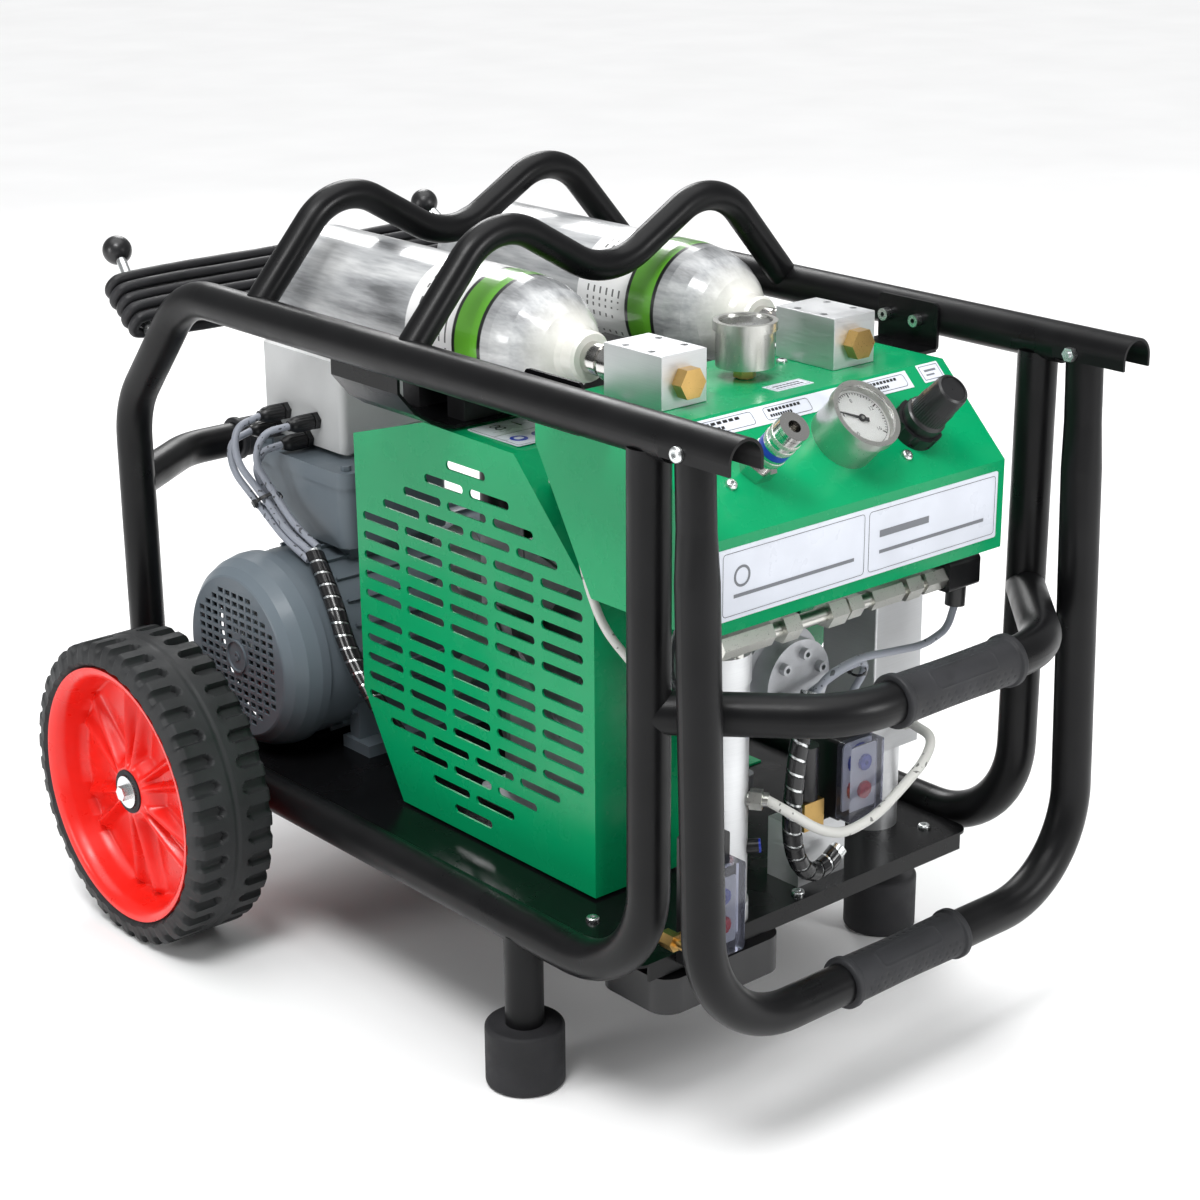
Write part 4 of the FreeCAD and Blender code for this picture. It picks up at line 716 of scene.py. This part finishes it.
def grip_radius(x, turn):
    """Sleeve's radius at a place along it and an angle from the middle of its outline."""
    edge = GRIP_HALF - abs(x)
    radius = GRIP_FLANGE - 0.0021 - 0.0006 * math.cos(math.pi * x / (2 * GRIP_HALF)) ** 2
    radius += 0.0021 * smooth_step(0.0078, 0.0062, edge) - 0.0012 * smooth_step(0.0012, 0.0, edge)
    across = ((turn + math.pi) % (2 * math.pi) - math.pi) * GRIP_FLANGE
    corner = 0.006
    dx, dy = max(abs(x) - 0.037 + corner, 0), max(abs(across) - 0.010 + corner, 0)
    outline = abs(math.hypot(dx, dy) - corner) if dx or dy else min(0.037 - abs(x), 0.010 - abs(across))
    radius += 0.0007 * math.exp(-(outline / 0.0008) ** 2)
    if 0.013 < abs(across) < 0.034 and edge > 0.014:
        row = round((abs(across) - 0.017) / 0.0065)
        shift = 0.0042 if row % 2 else 0.0
        gap = (x + shift + 0.00425) % 0.0085 - 0.00425
        lift = abs(across) - 0.017 - row * 0.0065
        if row in (0, 1, 2):
            radius -= 0.0008 * math.exp(-(gap * gap + lift * lift) / 0.0013 ** 2)
    return radius


def grips():
    for name, node in (("grip_front", "front_handle"), ("grip_rear", "rear_handle")):
        low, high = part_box(node)
        front = abs(low.y) > abs(high.y)
        y = low.y + 0.0175 if front else high.y - 0.0175
        sleeve = grip(name, Vector((0, y, (low.z + high.z) / 2)), "frame",
                      math.radians(135 if front else 45))
        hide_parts("carry_grips")
    fold = grip("grip_fold", middle("fold_grip"), "pull_handle", math.radians(125))
    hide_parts("fold_grip")


# ---------------------------------------------------------------- flat trim
class Plane:
    """A flat place to lay labels on, measured in metres from its origin."""

    def __init__(self, origin, right, up):
        self.origin = Vector(origin)
        self.right, self.up = Vector(right).normalized(), Vector(up).normalized()
        self.out = self.right.cross(self.up)

    def at(self, x, y, lift=0.0):
        return self.origin + self.right * x + self.up * y + self.out * lift


def rounded(width, height, radius, centre=(0, 0), steps=6):
    points = []
    for quarter, (sx, sy) in enumerate(((1, 1), (-1, 1), (-1, -1), (1, -1))):
        for i in range(steps + 1):
            angle = math.pi / 2 * (quarter + i / steps)
            points.append((centre[0] + sx * (width / 2 - radius) + radius * math.cos(angle),
                           centre[1] + sy * (height / 2 - radius) + radius * math.sin(angle)))
    return points


def decal(name, plane, shapes, look, lift=0.0001):
    """Thin flat shapes; a shape is one outline, or an outer and an inner outline of the same length."""
    vertices, faces = [], []
    for shape in shapes:
        ring = isinstance(shape, dict)
        outer = shape["outer"] if ring else shape
        start, count = len(vertices), len(outer)
        for level in (0.0, lift):
            vertices += [plane.at(x, y, level) for x, y in outer]
            if ring:
                vertices += [plane.at(x, y, level) for x, y in shape["inner"]]
        layer = count * (2 if ring else 1)
        top = start + layer
        for i in range(count):
            j = (i + 1) % count
            faces.append((start + i, start + j, top + j, top + i))
            if ring:
                faces.append((top + i, top + j, top + count + j, top + count + i))
        if not ring:
            faces.append(tuple(top + i for i in range(count)))
    piece(name, vertices, faces, "frame", look)


def outline(width, height, radius, line, centre=(0, 0)):
    return {"outer": rounded(width, height, radius, centre),
            "inner": rounded(width - 2 * line, height - 2 * line, max(radius - line, 0.0002), centre)}


def bar(x0, x1, y0, y1, lean=0.0):
    return [(x0, y0), (x1, y0), (x1 + lean, y1), (x0 + lean, y1)]


SLOPE_FOOT = Vector((0, -0.363, 0.5205))     # lower bend of the panel
NUMBER_HEIGHT = 0.0052                       # of the dial numbers


def slope_plane(lift=0.0):
    """The panel's sloping face; its axes run right and up the slope from the lower bend."""
    half = math.sqrt(0.5)
    origin = SLOPE_FOOT + Vector((0, -half, half)) * lift
    return Plane(origin, (1, 0, 0), (0, 1, 1))


def labels():
    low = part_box("label_plates")[0]
    front = Plane((0, low.y - 0.0001, 0.4825), (1, 0, 0), (0, 0, 1))
    ink = [outline(0.160, 0.052, 0.0035, 0.0004, (-0.078, 0)),
           outline(0.157, 0.052, 0.0035, 0.0004, (0.0855, 0))]
    decal("front_plate_ink", front, ink, INK)
    decal("front_plate_lines", front, [bar(-0.146, -0.010, -0.012, -0.009),
                                       bar(0.020, 0.150, -0.012, -0.009)], GREY_INK)
    decal("front_plate_mark", front, [outline(0.018, 0.018, 0.0088, 0.0022, (-0.137, 0.005)),
                                      bar(0.020, 0.080, 0.002, 0.008)], GREY_INK)

    strip = slope_plane(0.0006)
    ink = [outline(width, 0.012, 0.003, 0.0004, (x, 0.094))
           for x, width in ((-0.100, 0.078), (-0.022, 0.052), (0.094, 0.052))]
    for x, width in ((-0.100, 0.066), (-0.022, 0.042), (0.094, 0.042)):
        for line, share in ((0.0955, 0.9), (0.0905, 0.6)):
            left, step = x - width / 2, width * share / 9
            ink += [bar(left + i * step, left + (i + 0.72) * step, line, line + 0.0026) for i in range(9)]
    decal("strip_ink", strip, ink, INK)

    sticker = slope_plane(0.0003)
    decal("sticker_edge", sticker, [rounded(0.027, 0.018, 0.001, (0.153, 0.0955))], LABEL)
    over = slope_plane(0.0005)
    ink = [outline(0.023, 0.014, 0.0006, 0.0006, (0.153, 0.0955)),
           bar(0.146, 0.160, 0.0965, 0.0985), bar(0.146, 0.156, 0.0925, 0.0940)]
    decal("sticker_ink", over, ink, GREY_INK)

    top = Plane((0.0115, -0.264, 0.5956), (1, 0, 0), (0, 1, 0))
    words = [bar(-0.016 + 0.004 * i, -0.013 + 0.004 * i, y, y + 0.002)
             for i in range(8) for y in (-0.0035, 0.0015)]
    decal("top_plate_ink", top, [outline(0.039, 0.014, 0.001, 0.0003)] + words, INK)
    cover_label()


def cover_label():
    """Sound and safety label on the flat top of the side cover."""
    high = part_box("vent_cover")[1]
    plane = Plane((-0.106, -0.053, high.z - 0.0009), (0, -1, 0), (1, 0, 0))
    decal("cover_label", plane, [rounded(0.072, 0.060, 0.003)], LABEL, lift=0.0006)
    over = Plane(plane.at(0, 0, 0.0007), plane.right, plane.up)
    ink = [outline(0.068, 0.056, 0.002, 0.0004), bar(-0.001, -0.0006, -0.027, 0.027)]
    for x, y in ((-0.026, -0.006), (-0.018, -0.006)):
        ink.append(outline(0.0065, 0.011, 0.003, 0.0014, (x, y)))
    ink.append(bar(-0.029, -0.014, 0.014, 0.0156))
    decal("cover_label_ink", over, ink, INK)
    decal("cover_label_blue", over, [rounded(0.016, 0.016, 0.0078, (0.017, y)) for y in (-0.014, 0.010)],
          BLUE)
    above = Plane(over.at(0, 0, 0.0002), plane.right, plane.up)
    decal("cover_label_signs", above, [rounded(0.007, 0.009, 0.003, (0.017, y)) for y in (-0.014, 0.010)],
          LABEL)


def text_outline(name, words, size, plane, x, y):
    """Flat lettering for a gauge's scale."""
    curve = bpy.data.curves.new(name, "FONT")
    curve.body, curve.size, curve.align_x, curve.align_y = words, size, "CENTER", "CENTER"
    source = bpy.data.objects.new(name + "_source", curve)
    mesh = bpy.data.meshes.new_from_object(source)
    points = [plane.at(x + v.co.x, y + v.co.y) for v in mesh.vertices]
    faces = [tuple(p.vertices) for p in mesh.polygons]
    bpy.data.objects.remove(source)
    bpy.data.meshes.remove(mesh)
    return points, faces


def gauge_scale(name, plane, radius, numbers):
    """Ticks over three quarters of a turn, with numbers inside them."""
    ticks = []
    total = (len(numbers) - 1) * 10
    for i in range(total + 1):
        angle = math.radians(225 - 270 * i / total)
        length, width = 0.0022, 0.0003
        if i % 10 == 0:
            length, width = 0.0044, 0.0006
        elif i % 5 == 0:
            length, width = 0.0032, 0.0004
        along = Vector((math.cos(angle), math.sin(angle)))
        side = Vector((-along.y, along.x)) * width
        near, far = along * (radius - length), along * radius
        ticks.append([tuple(near - side), tuple(far - side), tuple(far + side), tuple(near + side)])
    ring = [(radius * math.cos(a), radius * math.sin(a)) for a in (2 * math.pi * i / 96 for i in range(96))]
    ticks.append({"outer": ring, "inner": [(x * 0.985, y * 0.985) for x, y in ring]})
    decal(f"{name}_ticks", plane, ticks, INK, lift=0.00005)
    vertices, faces = [], []
    for i, number in enumerate(numbers):
        angle = math.radians(225 - 270 * i / (len(numbers) - 1))
        reach = radius - 0.0078
        points, polygons = text_outline(f"{name}_{i}", number, NUMBER_HEIGHT, plane, reach * math.cos(angle),
                                        reach * math.sin(angle))
        faces += [tuple(v + len(vertices) for v in polygon) for polygon in polygons]
        vertices += points
    piece(f"{name}_numbers", vertices, faces, "frame", INK)


def gauges():
    face = slope_plane(0.0287)
    face = Plane(face.at(0.016, 0.057), (1, 0, 0), (0, 1, 1))
    gauge_scale("front_scale", face, 0.0252, ["0", "4", "8", "12", "16"])
    top = Plane((0.003, -0.221, 0.63575), (1, 0, 0), (0, 1, 0))
    gauge_scale("top_scale", top, 0.0210, ["0", "100", "200", "300", "400"])


# ---------------------------------------------------------------- wound and tied pieces
class Line:
    """A smooth route that can be read at any distance along it."""

    def __init__(self, points, step=0.0008):
        self.step = step
        self.line = resample(route_points("line", [Vector(p) / 1000 for p in points]), step)
        self.frames, up = [], Vector((0, 0, 1))
        for i in range(len(self.line)):
            ahead = (self.line[min(i + 1, len(self.line) - 1)] - self.line[max(i - 1, 0)]).normalized()
            across = ahead.cross(up)
            if across.length < 0.05:
                across = ahead.cross(Vector((1, 0, 0)))
            across.normalize()
            up = across.cross(ahead)
            self.frames.append((across, up))

    def spot(self, distance, angle, radius):
        i = min(max(int(distance / self.step), 0), len(self.line) - 1)
        across, up = self.frames[i]
        return self.line[i] + (across * math.cos(angle) + up * math.sin(angle)) * radius

    @property
    def length(self):
        return self.step * (len(self.line) - 1)


def spiral_wrap(name, points, radius, pitch=0.0135, band=0.0112):
    """Black helical band over a bright zinc tube, which shows through the gaps between the turns as painted
    highlight lines at the band's edges.
    """
    line = Line(points)
    sides = 40
    count = int(line.length / 0.002)
    # bright zinc tube under the band: painted highlight lines in the gaps between the turns
    painted_highlight_core = [line.spot(i * 0.002, 2 * math.pi * j / sides, radius - 0.0011)
            for i in range(count) for j in range(sides)]
    faces = capped(grid_faces(count, sides), count, sides)
    piece(f"{name}_core", painted_highlight_core, faces, "frame", ZINC)
    steps = int((line.length - band) / pitch * sides)
    vertices = []
    for i in range(steps):
        start, angle = i * pitch / sides, 2 * math.pi * i / sides
        for offset, r in ((0.0, radius - 0.001), (0.0004, radius), (band - 0.0004, radius),
                          (band, radius - 0.001)):
            vertices.append(line.spot(start + offset, angle, r))
    coil = piece(f"{name}_band", vertices, grid_faces(steps, 4), "frame", WRAP, 50)
    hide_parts("spiral_wraps")


def strap(name, centre, axis, across, up, thickness, width, look=BLACK_PLASTIC):
    """Flat oval band round a bundle, with its locking head."""
    axis = Vector(axis).normalized()
    first = Vector((0, 0, 1)).cross(axis)
    first = first.normalized() if first.length > 0.1 else Vector((1, 0, 0))
    second = axis.cross(first)
    sides = 64
    vertices = []
    for grow, along in ((0, -width / 2), (thickness, -width / 2), (thickness, width / 2), (0, width / 2)):
        for j in range(sides):
            angle = 2 * math.pi * j / sides
            spot = first * (across + grow) * math.cos(angle) + second * (up + grow) * math.sin(angle)
            vertices.append(Vector(centre) + spot + axis * along)
    piece(name, vertices, grid_faces(4, sides, close_rows=True), "frame", look)
    head = Vector(centre) - first * (across + thickness)
    prism(f"{name}_head", head - axis * width, axis, 0.0045, 4, width * 2, "frame", look)


def ties():
    strap("loom_tie", (-0.1205, 0.3265, 0.3868), (0.0, -0.76, -0.64), 0.0150, 0.0105, 0.0009, 0.0036)
    strap("front_tie", (0.0615, -0.3065, 0.3405), (-0.5, -0.4, 0.75), 0.0068, 0.0048, 0.0008, 0.0032)
    centre = hank_point(0.060, 0.0, 0.010)
    strap("hank_strap", centre, (1, 0, 0), 0.039, 0.030, 0.0012, 0.014, RUBBER)


# ---------------------------------------------------------------- small fittings
def glands():
    """Black cable glands: hexagon, ribbed cap and rubber lip."""
    places = [(-0.063, y, z, -1, 1.0)
              for y, z in ((0.372, 0.460), (0.320, 0.460), (0.389, 0.441), (0.334, 0.438))]
    places.append((0.057, 0.318, 0.486, 1, 1.25))
    for i, (x, y, z, sign, size) in enumerate(places):
        base, axis = Vector((x, y, z)), Vector((sign, 0, 0))
        long = 1.0 if sign < 0 else 0.9
        nut = prism(f"gland_nut_{i}", base, axis, 0.0165 * size, 6, 0.006, "frame",
                    BLACK_PLASTIC)
        profile = [(0.0066, 0.006), (0.0072, 0.007), (0.0083, 0.0075), (0.0085, 0.010), (0.0085, 0.022),
                   (0.0079, 0.0265), (0.0066, 0.0295), (0.0056, 0.031), (0.0053, 0.0338), (0.0036, 0.034)]
        profile = [(r * size, h * long) for r, h in profile]
        turned(f"gland_cap_{i}", base, axis, profile, "frame", BLACK_PLASTIC, 96, 16,
               0.0008 * size, (0.009 * long, 0.024 * long))
        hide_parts("cable_glands")


def regulator():
    """Pressure knob: ribbed skirt, smooth taper and a sunk disc in its end."""
    slope = slope_plane()
    base = slope.at(0.0955, 0.049, 0.0134)
    profile = [(0.0101, 0), (0.0183, 0), (0.0185, 0.0015), (0.0185, 0.0085), (0.0172, 0.0095),
               (0.0162, 0.011), (0.0163, 0.0125), (0.0162, 0.026), (0.0155, 0.0275), (0.0150, 0.044),
               (0.0143, 0.0468), (0.0125, 0.048), (0.0118, 0.0478), (0.0115, 0.0466), (0.0004, 0.0464),
               (0.0004, 0.0045), (0.0101, 0.0042)]
    knob = turned("regulator_cap", base, slope.out, profile, "knob", BLACK_PLASTIC, 160,
                  40, 0.0006, (0.0115, 0.0265))
    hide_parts("regulator_knob")


def coupling():
    """Blue ring in the sleeve's groove, and the sleeve's knurled collars."""
    slope = slope_plane()
    base = slope.at(-0.089, 0.051)
    turned("coupling_blue_ring", base, slope.out,
           [(0.0130, 0.0302), (0.01375, 0.0305), (0.01375, 0.0366), (0.0130, 0.0368)],
           "sleeve", BLUE)
    for i, at in enumerate((0.0225, 0.0385, 0.0465)):
        profile = [(0.0133, at), (0.0141, at + 0.0006), (0.0141, at + 0.0042), (0.0133, at + 0.0048)]
        turned(f"coupling_collar_{i}", base, slope.out, profile, "sleeve", NICKEL, 144, 36,
               0.0005, (at + 0.0004, at + 0.0044))


def switches():
    """Coloured adjusters seen through the clear covers of the two pressure switches."""
    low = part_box("switch_covers")[0]
    for name, left, right, bottom, front in (("left", low.x, low.x + 0.045, 0.154, low.y),
                                             ("right", 0.035, 0.077, 0.208, -0.326)):
        plane = Plane(((left + right) / 2, front + 0.0125, bottom), (1, 0, 0), (0, 0, 1))
        decal(f"switch_plate_{name}", plane, [rounded(0.034, 0.060, 0.002, (0, 0.038))], LIGHT_BOX,
              lift=0.0015)
        for tint, look, at, radius in (("blue", BLUE, 0.052, 0.0075), ("red", RED_CAP, 0.026, 0.0080)):
            base = plane.at(0.002, at, 0.0015)
            profile = [(radius, 0), (radius, 0.005), (radius * 0.8, 0.0062), (radius * 0.3, 0.0064),
                       (0.0003, 0.0050)]
            turned(f"switch_{tint}_{name}", base, plane.out, profile, "frame", look, 40,
                   12, 0.0006, (-1, 0.0055))


def small_fittings():
    base, axis = Vector((-0.0745, -0.3095, 0.2165)), Vector((0.7, -0.7, 0.1)).normalized()
    turned("push_fitting", base, axis, [(0.0003, 0), (0.0062, 0), (0.0062, 0.011), (0.0003, 0.0112)],
           "frame", BLACK_PLASTIC)
    ring = [(0.0036, 0.0113), (0.0062, 0.0113), (0.0060, 0.0128), (0.0036, 0.0128)]
    turned("push_fitting_ring", base, axis, ring, "frame", BLUE)
    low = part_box("motor_fan_cover")[0]
    centre = Vector((low.x, 0.287, 0.250))
    out = Vector((-1, 0, 0))
    turned("cowl_ring", centre, out, [(0.0145, 0), (0.0170, 0), (0.0167, 0.0018), (0.0150, 0.0018)],
           "frame", MOTOR)
    hub = [(0.0003, 0.0002), (0.0045, 0.0002), (0.0045, 0.0014), (0.0022, 0.0016), (0.0003, 0.0006)]
    turned("cowl_hub", centre, out, hub, "frame", MOTOR)


def build():
    lay_floor()
    power_cord()
    for look, nodes in CAD_LOOKS.items():
        for node in nodes:
            dress(node, look)
    for side in ("left", "right"):
        dress(f"bottle_{side}", bottle_wrap(side))
        tyre(side)
        rim(side)
    dress("switch_covers", SMOKE)
    spiral_wrap("wrap_left", WRAP_LEFT, 0.0090)
    spiral_wrap("wrap_front", WRAP_FRONT, 0.0085)
    grips()
    labels()
    gauges()
    ties()
    glands()
    regulator()
    coupling()
    switches()
    small_fittings()


place_camera()
light_scene()
build()
